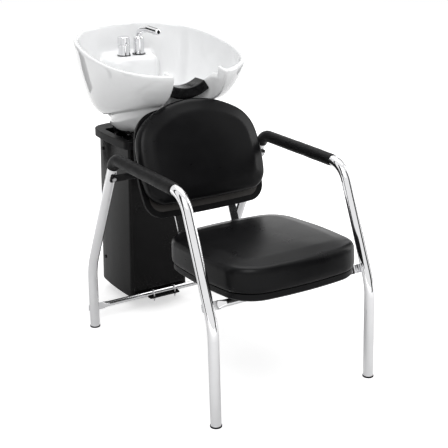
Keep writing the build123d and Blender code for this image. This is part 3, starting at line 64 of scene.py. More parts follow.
# A wave texture of scale 1 repeats after this length
WAVE_REPEAT = 0.314
DUST = (0.55, 0.54, 0.52, 1.0)

# Lengths are in metres from here on, and angles in degrees

MERGE = 0.00001
SMOOTHING = 0.5

# The cushions: the slopes of their boards, up to which height over the board a cover keeps
# still, over which further height it comes loose, and how firmly it is held where that starts
SEAT_SLOPE = 3.5
BACK_LEAN = 23.65
SEAT_STILL, SEAT_LOOSENS = 0.012, 0.03
BACK_STILL, BACK_LOOSENS = 0.01, 0.02
SIDE_HOLD = 0.6
CUSHION_SOFTENED, SWELL_SOFTENED = 4, 2

# The cloth simulation that swells them, and the rounds that even its puckers out
CLOTH = {"quality": 6, "mass": 0.3, "tension_stiffness": 12, "compression_stiffness": 12,
         "shear_stiffness": 6, "bending_stiffness": 8, "use_pressure": True,
         "uniform_pressure_force": 4}
SWELL_FRAMES = 20
EVENING_ROUNDS = 80

# The sleeves: where the arm's rear bend starts in y, its radius and its turn, the rings of the
# wall, the short run after the bend, and by how much the wall is smaller than the solid
BEND_Y = 0.022
BEND_RADIUS = 0.052
BEND_TURN = 64.8
RING_POINTS, ARM_RINGS, BEND_RINGS = 40, 60, 16
LAST_RUN = (0, 0.0015, -0.003)
SLEEVE_INSET = 0.0006
SLEEVE_THICKNESS = 0.0032
# Height and rate of the unevenness of the foam, and how far the ends are drawn in
FOAM_WAVES = ((0.0007, 28), (0.0003, 90))
END_DRAWN, NEXT_DRAWN = 0.0022, 0.0004

# The tap deck: the flat round the taps keeps its place to these distances from their middle (to
# each side, to front and rear, down), and the smoothing reaches as far as the second set says
# (the same, and up). Both fade out.
FLAT_SIDE, FLAT_DEEP, FLAT_DOWN, FLAT_FADE = 0.055, 0.024, 0.01, 0.02
REACH_SIDE, REACH_DEEP, REACH_DOWN, REACH_UP, REACH_FADE = 0.15, 0.095, 0.17, 0.03, 0.03

NECK_MESH = 0.0018
NECK_SOFTENED = 8

# The studio: name, place, power, width and height of each soft box
LAMP_AIM = (0, 0, 0.5)
LAMPS = (("key", (-1.4, -1.6, 2.7), 34, 1.6, 1.6),
         ("top", (0.5, 0.5, 2.8), 26, 2.2, 1.4),
         ("side", (2.4, -0.8, 1.5), 16, 1.0, 1.8))
FLOOR_RADIUS = 9
FLOOR_POINTS = 96
FLOOR_COLOUR = (0.8, 0.8, 0.8, 1)
# The floor's glow rises from the first distance to the second, from this least strength to 1,
# so that the object's shadow stays: as the camera sees it, and as mirrors do
SEEN_RISE = (0.4, 1.6, 0.56)
MIRRORED_RISE = (0.7, 3.2, 0.06)
# Dark flags that only mirrors see: turn from +Y, distance, width, low and high edge
FLAGS = ((152, 1.9, 0.75, 0.02, 2.6), (-95, 1.7, 0.6, 0.02, 2.6), (118, 2.2, 0.22, 0.02, 2.6),
         (-60, 1.9, 0.2, 0.02, 2.6), (72, 2.0, 0.5, 0.02, 2.2), (-20, 2.2, 0.45, 0.02, 2.2),
         (24, 2.4, 0.3, 0.02, 2.2))
FLAG_COLOUR = (0.02, 0.02, 0.02, 1)


# Sizes and colours that a user would change

class Upholstery(bpy.types.PropertyGroup):
    vinyl: FloatVectorProperty(
        name="Vinyl", description="Colour of the seat and back covers", subtype="COLOR",
        size=4, min=0, max=1, default=(0.0045, 0.0045, 0.005, 1))
    grain: FloatProperty(
        name="Grain", description="Width of one pebble of the vinyl's grain", unit="LENGTH",
        default=0.0011)
    weave: FloatProperty(
        name="Remesh size", description="Edge of the even mesh that the cushions swell on",
        unit="LENGTH", default=0.005)
    seat_swell: FloatProperty(
        name="Seat swell", description="Furthest that the foam pushes the seat cover out",
        unit="LENGTH", default=0.008)
    back_swell: FloatProperty(
        name="Back swell", description="Furthest that the foam pushes the back cover out",
        unit="LENGTH", default=0.008)
    sleeve: FloatVectorProperty(
        name="Sleeve foam", description="Colour of the arm sleeves", subtype="COLOR",
        size=4, min=0, max=1, default=(0.005, 0.005, 0.0054, 1))


class Ceramic(bpy.types.PropertyGroup):
    glaze: FloatVectorProperty(
        name="Glaze", description="Colour of the bowl's glaze", subtype="COLOR",
        size=4, min=0, max=1, default=(0.86, 0.865, 0.87, 1))
    mesh: FloatProperty(
        name="Remesh size", description="Edge of the even mesh that the bowl is softened on",
        unit="LENGTH", default=0.0036)
    deck_flow: IntProperty(
        name="Deck flow", description="Rounds of smoothing that run the tap deck into the basin",
        min=0, max=400, default=260)
    softness: IntProperty(
        name="Softness", description="Rounds of smoothing over the bowl's rims and creases",
        min=0, max=60, default=14)


class Metals(bpy.types.PropertyGroup):
    chrome: FloatVectorProperty(
        name="Chrome", description="Colour of the plated tubes and taps", subtype="COLOR",
        size=4, min=0, max=1, default=(0.80, 0.80, 0.81, 1))
    zinc: FloatVectorProperty(
        name="Zinc", description="Colour of the screws and bolts", subtype="COLOR",
        size=4, min=0, max=1, default=(0.62, 0.62, 0.63, 1))


class Column(bpy.types.PropertyGroup):
    panel: FloatVectorProperty(
        name="Panel", description="Colour of the column's panels", subtype="COLOR",
        size=4, min=0, max=1, default=(0.004, 0.0038, 0.004, 1))


class Studio(bpy.types.PropertyGroup):
    lens: FloatProperty(name="Lens", description="Focal length in millimetres on a 36 mm sensor",
                        default=80.98)
    camera_place: FloatVectorProperty(
        name="Camera", description="Where the camera stands", subtype="TRANSLATION",
        size=3, default=(-1.6034, -2.6497, 1.4950))
    turn: FloatProperty(name="Turn", description="How far the view turns from +Y towards +X",
                        subtype="ANGLE", default=math.radians(32.52))
    dip: FloatProperty(name="Dip", description="How far the view looks down",
                       subtype="ANGLE", default=math.radians(19.55))
    sky: FloatProperty(name="Sky", description="Strength of the even light", default=0.5)


# Shader nodes

def put(tree, kind, feeds=None, **settings):
    """Adds a shader node with its settings and the values or sockets that feed it."""
    node = tree.nodes.new(kind)
    for name, value in settings.items():
        setattr(node, name, value)
    for socket, value in (feeds or {}).items():
        if isinstance(value, bpy.types.NodeSocket):
            tree.links.new(value, node.inputs[socket])
        else:
            node.inputs[socket].default_value = value
    return node


def effect(name, wants, gives):
    """A shader node group with its inputs, its outputs and Object coordinates, and nothing
    between them yet."""
    tree = bpy.data.node_groups.new(name, "ShaderNodeTree")
    for socket, value in wants.items():
        kind = "NodeSocketFloat" if isinstance(value, float) else "NodeSocketColor"
        tree.interface.new_socket(socket, in_out="INPUT", socket_type=kind).default_value = value
    for socket, kind in gives.items():
        tree.interface.new_socket(socket, in_out="OUTPUT", socket_type=kind)
    place = put(tree, "ShaderNodeTexCoord").outputs["Object"]
    return (tree, tree.nodes.new("NodeGroupInput").outputs,
            tree.nodes.new("NodeGroupOutput").inputs, place)


def per_metre(tree, size):
    """A texture scale from the size of one grain in metres."""
    return put(tree, "ShaderNodeMath", {0: 1.0, 1: size}, operation="DIVIDE").outputs[0]


def pebbled_grain():
    """Rounded pebbles with fine creases between them, as pressed vinyl has."""
    tree, wants, gives, place = effect("Pebbled grain", {"Grain Size": 0.001},
                                       {"Height": "NodeSocketFloat"})
    scale = per_metre(tree, wants["Grain Size"])
    sway = put(tree, "ShaderNodeTexNoise", {"Vector": place, "Scale": scale, "Detail": 2.0})
    drift = put(tree, "ShaderNodeVectorMath",
                {0: sway.outputs["Color"], 1: (0.0009, 0.0009, 0.0009), 2: place},
                operation="MULTIPLY_ADD")
    cells = put(tree, "ShaderNodeTexVoronoi", {"Vector": drift.outputs[0], "Scale": scale},
                feature="SMOOTH_F1")
    pebble = put(tree, "ShaderNodeMapRange",
                 {"Value": cells.outputs["Distance"], "From Min": 0.1, "From Max": 0.75,
                  "To Min": 1.0, "To Max": 0.0}, interpolation_type="SMOOTHSTEP")
    tree.links.new(pebble.outputs[0], gives["Height"])
    return tree


def slow_ripple():
    """Long low waves of a moulded, sprayed or glazed face."""
    tree, wants, gives, place = effect("Slow ripple", {"Ripple Size": 0.02},
                                       {"Height": "NodeSocketFloat"})
    waves = put(tree, "ShaderNodeTexNoise",
                {"Vector": place, "Scale": per_metre(tree, wants["Ripple Size"]),
                 "Detail": 1.5, "Roughness": 0.4})
    tree.links.new(waves.outputs[0], gives["Height"])
    return tree


def drawn_lines():
    """Fine lines that run up a brushed, drawn or machined face."""
    tree, wants, gives, place = effect("Drawn lines", {"Line Width": 0.0004},
                                       {"Height": "NodeSocketFloat"})
    long = put(tree, "ShaderNodeMapping", {"Vector": place, "Scale": (1.0, 1.0, 0.04)})
    lines = put(tree, "ShaderNodeTexNoise",
                {"Vector": long.outputs[0], "Scale": per_metre(tree, wants["Line Width"]),
                 "Detail": 2.0})
    tree.links.new(lines.outputs[0], gives["Height"])
    return tree


def handled():
    """Patches where hands and cloths leave a face duller or brighter."""
    tree, wants, gives, place = effect(
        "Handled", {"Patch Size": 0.05, "Low": 0.2, "High": 0.3},
        {"Roughness": "NodeSocketFloat"})
    patches = put(tree, "ShaderNodeTexNoise",
                  {"Vector": place, "Scale": per_metre(tree, wants["Patch Size"]),
                   "Detail": 4.0, "Roughness": 0.55})
    spread = put(tree, "ShaderNodeMapRange",
                 {"Value": patches.outputs[0], "From Min": 0.3, "From Max": 0.7,
                  "To Min": wants["Low"], "To Max": wants["High"]})
    tree.links.new(spread.outputs[0], gives["Roughness"])
    return tree


def tone_drift():
    """A colour that drifts lighter and darker over a face, with a film of dust on its top."""
    tree, wants, gives, place = effect(
        "Tone drift", {"Colour": (0.5, 0.5, 0.5, 1.0), "Drift": 0.1, "Dust": 0.0,
                       "Patch Size": 0.08}, {"Colour": "NodeSocketColor"})
    patches = put(tree, "ShaderNodeTexNoise",
                  {"Vector": place, "Scale": per_metre(tree, wants["Patch Size"]),
                   "Detail": 3.0})
    low = put(tree, "ShaderNodeMath", {0: 1.0, 1: wants["Drift"]}, operation="SUBTRACT")
    high = put(tree, "ShaderNodeMath", {0: 1.0, 1: wants["Drift"]}, operation="ADD")
    share = put(tree, "ShaderNodeMapRange",
                {"Value": patches.outputs[0], "From Min": 0.3, "From Max": 0.7,
                 "To Min": low.outputs[0], "To Max": high.outputs[0]})
    toned = put(tree, "ShaderNodeVectorMath", {0: wants["Colour"]}, operation="SCALE")
    tree.links.new(share.outputs[0], toned.inputs["Scale"])
    up = put(tree, "ShaderNodeSeparateXYZ",
             {0: put(tree, "ShaderNodeNewGeometry").outputs["Normal"]})
    lying = put(tree, "ShaderNodeMapRange",
                {"Value": up.outputs["Z"], "From Min": 0.6, "From Max": 1.0,
                 "To Min": 0.0, "To Max": wants["Dust"]})
    film = put(tree, "ShaderNodeMath", {0: lying.outputs[0], 1: patches.outputs[0]},
               operation="MULTIPLY")
    dusted = put(tree, "ShaderNodeMix",
                 {FACTOR: film.outputs[0], COLOUR_A: toned.outputs[0], COLOUR_B: DUST},
                 data_type="RGBA")
    tree.links.new(dusted.outputs[COLOUR_OUT], gives["Colour"])
    return tree


def veneers():
    """Thin plies of pale and dark wood, seen on a board's edge, with grain along its faces."""
    tree, wants, gives, place = effect(
        "Veneers", {"Pale": (0.6, 0.45, 0.28, 1.0), "Dark": (0.38, 0.25, 0.14, 1.0),
                    "Ply": 0.003}, {"Colour": "NodeSocketColor"})
    one_a_ply = put(tree, "ShaderNodeMath", {0: per_metre(tree, wants["Ply"]), 1: WAVE_REPEAT},
                    operation="MULTIPLY")
    plies = put(tree, "ShaderNodeTexWave",
                {"Vector": place, "Scale": one_a_ply.outputs[0], "Distortion": 0.4,
                 "Detail": 1.0}, bands_direction="Z")
    long = put(tree, "ShaderNodeMapping", {"Vector": place, "Scale": (220.0, 9.0, 220.0)})
    fibres = put(tree, "ShaderNodeTexNoise",
                 {"Vector": long.outputs[0], "Scale": 1.0, "Detail": 4.0})
    both = put(tree, "ShaderNodeMath", {0: plies.outputs["Fac"], 1: fibres.outputs[0]},
               operation="MULTIPLY")
    mixed = put(tree, "ShaderNodeMix",
                {FACTOR: both.outputs[0], COLOUR_A: wants["Pale"], COLOUR_B: wants["Dark"]},
                data_type="RGBA")
    tree.links.new(mixed.outputs[COLOUR_OUT], gives["Colour"])
    return tree


EFFECTS = {"Pebbled grain": pebbled_grain, "Slow ripple": slow_ripple,
           "Drawn lines": drawn_lines, "Handled": handled, "Tone drift": tone_drift,
           "Veneers": veneers}


def place_effect(tree, name, feeds):
    """Places one of the shared effects in a material with its own values."""
    node = put(tree, "ShaderNodeGroup",
               node_tree=bpy.data.node_groups.get(name) or EFFECTS[name]())
    for socket, value in feeds.items():
        node.inputs[socket].default_value = value
    return node.outputs


# Materials

def finish(name, colour, rough, relief, depth, drift=0.1, dust=0.0, patch=0.05, **constants):
    """A material: drifting colour, roughness between two values and an effect's relief of a
    depth in its bump. A dict as the colour makes it veneers. constants go to the shader."""
    found = bpy.data.materials.get("finish " + name)
    if found:
        return found
    material = bpy.data.materials.new("finish " + name)
    material.use_nodes = True
    tree = material.node_tree
    shader = tree.nodes["Principled BSDF"]
    for socket, value in constants.items():
        shader.inputs[socket.replace("_", " ")].default_value = value
    if isinstance(colour, dict):
        base = place_effect(tree, "Veneers", colour)
    else:
        base = place_effect(tree, "Tone drift", {"Colour": tuple(colour), "Drift": drift,
                                                 "Dust": dust, "Patch Size": patch})
    tree.links.new(base["Colour"], shader.inputs["Base Color"])
    dull = place_effect(tree, "Handled", {"Patch Size": patch, "Low": rough[0],
                                          "High": rough[1]})
    tree.links.new(dull["Roughness"], shader.inputs["Roughness"])
    height = place_effect(tree, relief[0], relief[1])
    bump = put(tree, "ShaderNodeBump", {"Distance": depth, "Height": height["Height"]})
    tree.links.new(bump.outputs[0], shader.inputs["Normal"])
    return material


def vinyl():
    sizes = bpy.context.scene.backwash_upholstery
    return finish("vinyl", sizes.vinyl, (0.27, 0.32),
                  ("Pebbled grain", {"Grain Size": sizes.grain}), 0.00002, drift=0.15,
                  patch=0.06, Specular_IOR_Level=0.12)


def sleeve_foam():
    sizes = bpy.context.scene.backwash_upholstery
    return finish("sleeve foam", sizes.sleeve, (0.34, 0.5),
                  ("Pebbled grain", {"Grain Size": 0.0008}), 0.00008, drift=0.15,
                  patch=0.03, Specular_IOR_Level=0.12)


def chrome():
    return finish("chrome", bpy.context.scene.backwash_metals.chrome, (0.03, 0.08),
                  ("Slow ripple", {"Ripple Size": 0.05}), 0.0001, drift=0.02, patch=0.04,
                  Metallic=1.0)


def tap_chrome():
    return finish("tap chrome", bpy.context.scene.backwash_metals.chrome, (0.02, 0.07),
                  ("Slow ripple", {"Ripple Size": 0.012}), 0.00005, drift=0.03, patch=0.01,
                  Metallic=1.0)


def zinc():
    return finish("zinc", bpy.context.scene.backwash_metals.zinc, (0.22, 0.38),
                  ("Slow ripple", {"Ripple Size": 0.0016}), 0.00006, drift=0.12, patch=0.004,
                  Metallic=1.0)


def brass():
    return finish("brass", (0.72, 0.50, 0.22, 1), (0.2, 0.34),
                  ("Drawn lines", {"Line Width": 0.0005}), 0.00005, patch=0.006,
                  Metallic=1.0)


def stainless():
    return finish("stainless", (0.66, 0.66, 0.67, 1), (0.16, 0.3),
                  ("Drawn lines", {"Line Width": 0.0004}), 0.00004, drift=0.06, patch=0.01,
                  Metallic=1.0)


def painted_steel():
    return finish("painted steel", (0.007, 0.007, 0.0075, 1), (0.3, 0.45),
                  ("Slow ripple", {"Ripple Size": 0.002}), 0.00008, dust=0.01,
                  Specular_IOR_Level=0.12)


def moulded_plastic():
    return finish("moulded plastic", (0.005, 0.005, 0.0054, 1), (0.32, 0.46),
                  ("Pebbled grain", {"Grain Size": 0.0005}), 0.00003, drift=0.12, dust=0.002,
                  Specular_IOR_Level=0.1)


def column_panel():
    return finish("column panel", bpy.context.scene.backwash_column.panel, (0.14, 0.26),
                  ("Slow ripple", {"Ripple Size": 0.06}), 0.0004, drift=0.15, dust=0.001,
                  patch=0.09, Specular_IOR_Level=0.12)


def rubber():
    return finish("rubber", (0.006, 0.006, 0.0065, 1), (0.16, 0.3),
                  ("Slow ripple", {"Ripple Size": 0.01}), 0.0002, drift=0.15, patch=0.02,
                  Specular_IOR_Level=0.2)


def plywood():
    return finish("plywood", {"Ply": 0.0028, "Pale": (0.03, 0.026, 0.023, 1),
                              "Dark": (0.014, 0.012, 0.011, 1)}, (0.5, 0.7),
                  ("Drawn lines", {"Line Width": 0.0008}), 0.00015)


def pale_plastic():
    return finish("pale plastic", (0.72, 0.72, 0.70, 1), (0.35, 0.5),
                  ("Slow ripple", {"Ripple Size": 0.004}), 0.00006, drift=0.04, patch=0.02)


def ceramic_glaze():
    return finish("ceramic glaze", bpy.context.scene.backwash_ceramic.glaze, (0.06, 0.1),
                  ("Slow ripple", {"Ripple Size": 0.05}), 0.0006, drift=0.015, patch=0.12,
                  Specular_IOR_Level=0.55, Coat_Weight=0.5, Coat_Roughness=0.03)


# Meshes

def coat(material, *nodes):
    """Gives CAD nodes their finish."""
    for name in nodes:
        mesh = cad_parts[name].data
        mesh.materials.clear()
        mesh.materials.append(material)


def settle(piece):
    """Turns a piece's modifiers into its mesh."""
    depsgraph = bpy.context.evaluated_depsgraph_get()
    mesh = bpy.data.meshes.new_from_object(piece.evaluated_get(depsgraph), depsgraph=depsgraph)
    piece.modifiers.clear()
    piece.data = mesh


def poured(name, shape):
    """A mesh from a bmesh, which ends with it."""
    mesh = bpy.data.meshes.new(name)
    shape.to_mesh(mesh)
    shape.free()
    return mesh


def cast(name, mesh, material, smooth=True):
    """Puts a finished mesh in the scene as a piece."""
    piece = bpy.data.objects.new(name, mesh)
    bpy.context.scene.collection.objects.link(piece)
    mesh.materials.clear()
    mesh.materials.append(material)
    for face in mesh.polygons:
        face.use_smooth = smooth
    return piece


def even_copy(name, node, edge, material):
    """A closed copy of a CAD node on an even mesh."""
    shape = bmesh.new()
    shape.from_mesh(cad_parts[node].data)
    bmesh.ops.remove_doubles(shape, verts=shape.verts, dist=MERGE)
    piece = cast(name, poured(name, shape), material)
    remesh = piece.modifiers.new("Even mesh", "REMESH")
    remesh.mode = "VOXEL"
    remesh.voxel_size = edge
    remesh.use_smooth_shade = True
    settle(piece)
    return piece


def weigh(piece, name, weight):
    """A vertex group that holds at each point what weight says, from 0 to 1."""
    group = piece.vertex_groups.new(name=name)
    for vertex in piece.data.vertices:
        group.add([vertex.index], weight(vertex.co), "REPLACE")


def soften(piece, rounds, weight=None):
    """Smooths a piece, all over or as far as weight says, from 0 to 1."""
    smooth = piece.modifiers.new("Soften", "SMOOTH")
    smooth.factor = SMOOTHING
    smooth.iterations = rounds
    if weight:
        weigh(piece, "softened", weight)
        smooth.vertex_group = "softened"
    settle(piece)
    piece.vertex_groups.clear()


def evened(moves, piece, free):
    """The moves of a piece's points, each drawn towards its neighbours' where it is free."""
    ends = np.array([e.vertices[:] for e in piece.data.edges])
    count = np.bincount(ends.ravel(), minlength=len(moves))[:, None]
    for _ in range(EVENING_ROUNDS):
        around = np.zeros_like(moves)
        np.add.at(around, ends[:, 0], moves[ends[:, 1]])
        np.add.at(around, ends[:, 1], moves[ends[:, 0]])
        moves = (moves + around / count) / 2 * free
    return moves


def swell(piece, held, furthest):
    """Foam swells a cover by a cloth simulation, whose puckers are evened out afterwards.
    held says how firmly each point stays, from 0 to 1, and no point moves beyond furthest."""
    rest = [v.co.copy() for v in piece.data.vertices]
    weigh(piece, "held", held)
    cloth = piece.modifiers.new("Swell", "CLOTH")
    for name, value in CLOTH.items():
        setattr(cloth.settings, name, value)
    cloth.settings.vertex_group_mass = "held"
    cloth.settings.effector_weights.gravity = 0
    cloth.collision_settings.use_collision = False
    cloth.point_cache.frame_start = 1
    cloth.point_cache.frame_end = SWELL_FRAMES
    scene = bpy.context.scene
    for step in range(1, SWELL_FRAMES + 1):
        scene.frame_set(step)
    settle(piece)
    scene.frame_set(1)
    piece.vertex_groups.clear()
    was = np.array(rest)
    free = np.array([held(co) < 1 for co in rest])[:, None]
    moves = (np.array([v.co for v in piece.data.vertices]) - was) * free
    moves = evened(moves, piece, free)
    moves *= min(1, furthest / max(np.linalg.norm(moves, axis=1).max(), 1e-9))
    for vertex, co in zip(piece.data.vertices, was + moves):
        vertex.co = co


def subdivide(piece):
    """A finer, rounder mesh."""
    finer = piece.modifiers.new("Finer", "SUBSURF")
    finer.levels = finer.render_levels = 1
    settle(piece)


# Pieces

class BACKWASH_OT_steel_tubes(bpy.types.Operator):
    """Chrome on the side frames, front rail, stretcher and flat bars, and their foot caps"""
    bl_idname = "backwash.steel_tubes"
    bl_label = "Steel tubes"

    def execute(self, context):
        coat(chrome(), *STEEL)
        coat(moulded_plastic(), "foot_caps")
        return {"FINISHED"}


def sleeve_wall(x, front, height, radius):
    """The outer face of a sleeve: ring after ring along the arm and round its rear bend."""
    shape = bmesh.new()
    ring = bmesh.ops.create_circle(shape, segments=RING_POINTS, radius=radius,
                                   matrix=Matrix.Translation((x, front, height))
                                   @ Matrix.Rotation(math.pi / 2, 4, "X"))
    edges = list({e for v in ring["verts"] for e in v.link_edges})

    def carry(edges, move):
        grown = bmesh.ops.extrude_edge_only(shape, edges=edges)["geom"]
        verts = [g for g in grown if isinstance(g, bmesh.types.BMVert)]
        bmesh.ops.translate(shape, verts=verts, vec=move)
        return [g for g in grown if isinstance(g, bmesh.types.BMEdge)
                and all(v in verts for v in g.verts)]

    for _ in range(ARM_RINGS):
        edges = carry(edges, (0, (BEND_Y - front) / ARM_RINGS, 0))
    turned = bmesh.ops.spin(shape, geom=edges + list({v for e in edges for v in e.verts}),
                            cent=(x, BEND_Y, height - BEND_RADIUS), axis=(1, 0, 0),
                            angle=-math.radians(BEND_TURN), steps=BEND_RINGS,
                            use_duplicate=False)["geom_last"]
    carry([g for g in turned if isinstance(g, bmesh.types.BMEdge)], LAST_RUN)
    return shape


class BACKWASH_OT_arm_sleeves(bpy.types.Operator):
    """Foam sleeves over the arms, uneven as foam is, with drawn-in ends"""
    bl_idname = "backwash.arm_sleeves"
    bl_label = "Arm sleeves"

    def execute(self, context):
        for side in ("left", "right"):
            node = "arm_sleeve_" + side
            low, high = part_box(node)
            radius = (high.x - low.x) / 2
            shape = sleeve_wall((low.x + high.x) / 2, low.y, high.z - radius,
                                radius - SLEEVE_INSET)
            bmesh.ops.recalc_face_normals(shape, faces=shape.faces)
            ends = {v for e in shape.edges if e.is_boundary for v in e.verts}
            near = {e.other_vert(v) for v in ends for e in v.link_edges}
            for v in shape.verts:
                v.co += v.normal * sum(height * noise.noise(v.co * rate)
                                       for height, rate in FOAM_WAVES)
            for v in near | ends:
                v.co -= v.normal * (END_DRAWN if v in ends else NEXT_DRAWN)
            name = side + "_arm_sleeve"
            piece = cast(name, poured(name, shape), sleeve_foam())
            wall = piece.modifiers.new("Wall", "SOLIDIFY")
            wall.thickness = SLEEVE_THICKNESS
            wall.offset = -1
            subdivide(piece)
            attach(piece, "chair_and_column")
            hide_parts(node)
        return {"FINISHED"}


def hold(height, still, loosens):
    """How firmly the board holds a cover's point at a height over it, from 0 to 1."""
    return 1 if height < still else max(0.0, 1 - (height - still) / loosens) * SIDE_HOLD


def cushion(name, node, held, furthest):
    """A cover over foam, which swells where held doesn't keep it on the board."""
    sizes = bpy.context.scene.backwash_upholstery
    piece = even_copy(name, node, sizes.weave, vinyl())
    soften(piece, CUSHION_SOFTENED)
    swell(piece, held, furthest)
    soften(piece, SWELL_SOFTENED)
    subdivide(piece)
    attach(piece, "chair_and_column")
    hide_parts(node)


class BACKWASH_OT_seat_cushion(bpy.types.Operator):
    """Crowned seat cushion with a full front edge"""
    bl_idname = "backwash.seat_cushion"
    bl_label = "Seat cushion"

    def execute(self, context):
        low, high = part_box("seat_cushion")
        slope = math.tan(math.radians(SEAT_SLOPE))

        def held(co):
            return hold(co.z - low.z - (high.y - co.y) * slope, SEAT_STILL, SEAT_LOOSENS)

        cushion("seat_pad", "seat_cushion", held,
                context.scene.backwash_upholstery.seat_swell)
        coat(moulded_plastic(), "seat_under_tray")
        coat(plywood(), "seat_board")
        return {"FINISHED"}


class BACKWASH_OT_backrest_cushion(bpy.types.Operator):
    """Crowned back cushion in its moulded shell"""
    bl_idname = "backwash.backrest_cushion"
    bl_label = "Backrest cushion"

    def execute(self, context):
        lean = math.radians(BACK_LEAN)
        back = Vector((0, math.cos(lean), -math.sin(lean)))
        rear = max(v.co.dot(back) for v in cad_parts["backrest_cushion"].data.vertices)

        def held(co):
            return hold(rear - co.dot(back), BACK_STILL, BACK_LOOSENS)

        cushion("back_pad", "backrest_cushion", held,
                context.scene.backwash_upholstery.back_swell)
        coat(moulded_plastic(), "backrest_shell")
        coat(plywood(), "backrest_board")
        return {"FINISHED"}


class BACKWASH_OT_bowl(bpy.types.Operator):
    """Glazed bowl with soft rims and creases, its tap deck run into the basin"""
    bl_idname = "backwash.bowl"
    bl_label = "Bowl"

    def execute(self, context):
        sizes = context.scene.backwash_ceramic
        piece = even_copy("glazed_bowl", "bowl", sizes.mesh, ceramic_glaze())
        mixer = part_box("mixer_gasket")
        deck = Vector((0, (mixer[0].y + mixer[1].y) / 2, mixer[0].z))

        def near_deck(co):
            off = co - deck
            flat = max(abs(off.x) - FLAT_SIDE, abs(off.y) - FLAT_DEEP, -off.z - FLAT_DOWN)
            reach = max(abs(off.x) - REACH_SIDE, abs(off.y) - REACH_DEEP,
                        -off.z - REACH_DOWN, off.z - REACH_UP)
            return min(1.0, max(0.0, 1 - reach / REACH_FADE), max(0.0, flat / FLAT_FADE))

        soften(piece, sizes.deck_flow, near_deck)
        soften(piece, sizes.softness)
        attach(piece, "bowl_set")
        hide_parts("bowl")
        return {"FINISHED"}


class BACKWASH_OT_neck_rest(bpy.types.Operator):
    """Moulded neck rest on the bowl's saddle"""
    bl_idname = "backwash.neck_rest"
    bl_label = "Neck rest"

    def execute(self, context):
        piece = even_copy("neck_pad", "neck_rest", NECK_MESH, rubber())
        soften(piece, NECK_SOFTENED)
        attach(piece, "bowl_set")
        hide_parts("neck_rest")
        return {"FINISHED"}


class BACKWASH_OT_taps(bpy.types.Operator):
    """Chrome on the mixer and the spout, with their gaskets and nuts"""
    bl_idname = "backwash.taps"
    bl_label = "Taps"

    def execute(self, context):
        coat(tap_chrome(), "mixer_body", "mixer_turret", "mixer_cap", "spout_base", "spout",
             "spout_aerator")
        coat(rubber(), "mixer_gasket", "spout_gasket")
        coat(brass(), "mixer_nut", "spout_nut")
        coat(zinc(), "mixer_pin")
        return {"FINISHED"}


class BACKWASH_OT_drain(bpy.types.Operator):
    """Strainer, flange and trap pieces under the bowl"""
    bl_idname = "backwash.drain"
    bl_label = "Drain"

    def execute(self, context):
        coat(stainless(), "drain_flange", "drain_strainer")
        coat(pale_plastic(), "drain_nut", "drain_tailpiece", "drain_slip_nut")
        coat(rubber(), "drain_gasket")
        return {"FINISHED"}


class BACKWASH_OT_column(bpy.types.Operator):
    """Black panels, collar, foot and panel screws of the column"""
    bl_idname = "backwash.column"
    bl_label = "Column"

    def execute(self, context):
        coat(column_panel(), "column_shell", "column_rear_panel")
        coat(moulded_plastic(), "column_collar", "levelling_foot")
        coat(painted_steel(), "panel_screws")
        return {"FINISHED"}


class BACKWASH_OT_column_core(bpy.types.Operator):
    """Painted steel and rubber of the column's core and tilt joint, and the rear rail"""
    bl_idname = "backwash.column_core"
    bl_label = "Column core and tilt joint"

    def execute(self, context):
        coat(painted_steel(), "rear_back_rail", "base_plate", "column_post", "tilt_bracket",
             "tilt_cradle")
        coat(rubber(), "tilt_stops", "cradle_gasket")
        return {"FINISHED"}


class BACKWASH_OT_fasteners(bpy.types.Operator):
    """Zinc on the screws, bolts, nuts, U-bolts and tilt pins"""
    bl_idname = "backwash.fasteners"
    bl_label = "Fasteners"

    def execute(self, context):
        coat(zinc(), "rail_screws", "bar_screws", "seat_bolts", "backrest_bolts", "clamp_nuts",
             "bracket_screws", "cradle_bolts", "levelling_nuts", "stretcher_clamps",
             "tilt_pins")
        return {"FINISHED"}


def lamp(name, place, power, width, height):
    """A soft box that looks at the middle of the object."""
    data = bpy.data.lights.new(name, "AREA")
    data.shape = "RECTANGLE"
    data.size, data.size_y, data.energy = width, height, power
    light = bpy.data.objects.new(name, data)
    light.location = place
    light.rotation_mode = "QUATERNION"
    light.rotation_quaternion = (Vector(LAMP_AIM) - Vector(place)).to_track_quat("-Z", "Y")
    bpy.context.scene.collection.objects.link(light)


def plain(name, build):
    """A stage material."""
    material = bpy.data.materials.new(name)
    material.use_nodes = True
    tree = material.node_tree
    tree.nodes.clear()
    tree.links.new(build(tree), put(tree, "ShaderNodeOutputMaterial").inputs[0])
    return material


def seen(tree):
    """1 where the camera, a mirror or glass looks, and 0 where light bounces."""
    path = put(tree, "ShaderNodeLightPath").outputs
    first = put(tree, "ShaderNodeMath", {0: path["Is Camera Ray"], 1: path["Is Glossy Ray"]},
                operation="MAXIMUM")
    return put(tree, "ShaderNodeMath", {0: first.outputs[0], 1: path["Is Transmission Ray"]},
               operation="MAXIMUM").outputs[0]


def set_camera(scene, studio):
    """The camera at the photograph's place and angle."""
    data = bpy.data.cameras.new("camera")
    data.lens = studio.lens
    data.sensor_width = 36
    camera = bpy.data.objects.new("camera", data)
    scene.collection.objects.link(camera)
    camera.location = studio.camera_place
    look = Vector((math.sin(studio.turn) * math.cos(studio.dip),
                   math.cos(studio.turn) * math.cos(studio.dip), -math.sin(studio.dip)))
    camera.rotation_mode = "QUATERNION"
    camera.rotation_quaternion = look.to_track_quat("-Z", "Y")
    scene.camera = camera


def set_sky(scene, studio):
    """Even light all round, white where it is seen."""
    world = bpy.data.worlds.new("studio")
    world.use_nodes = True
    scene.world = world
    tree = world.node_tree
    shade = tree.nodes["Background"]
    shade.inputs["Color"].default_value = (1, 1, 1, 1)
    strength = put(tree, "ShaderNodeMix",
                   {FACTOR: seen(tree), VALUE_A: studio.sky, VALUE_B: 1.0})
    tree.links.new(strength.outputs[VALUE_OUT], shade.inputs["Strength"])


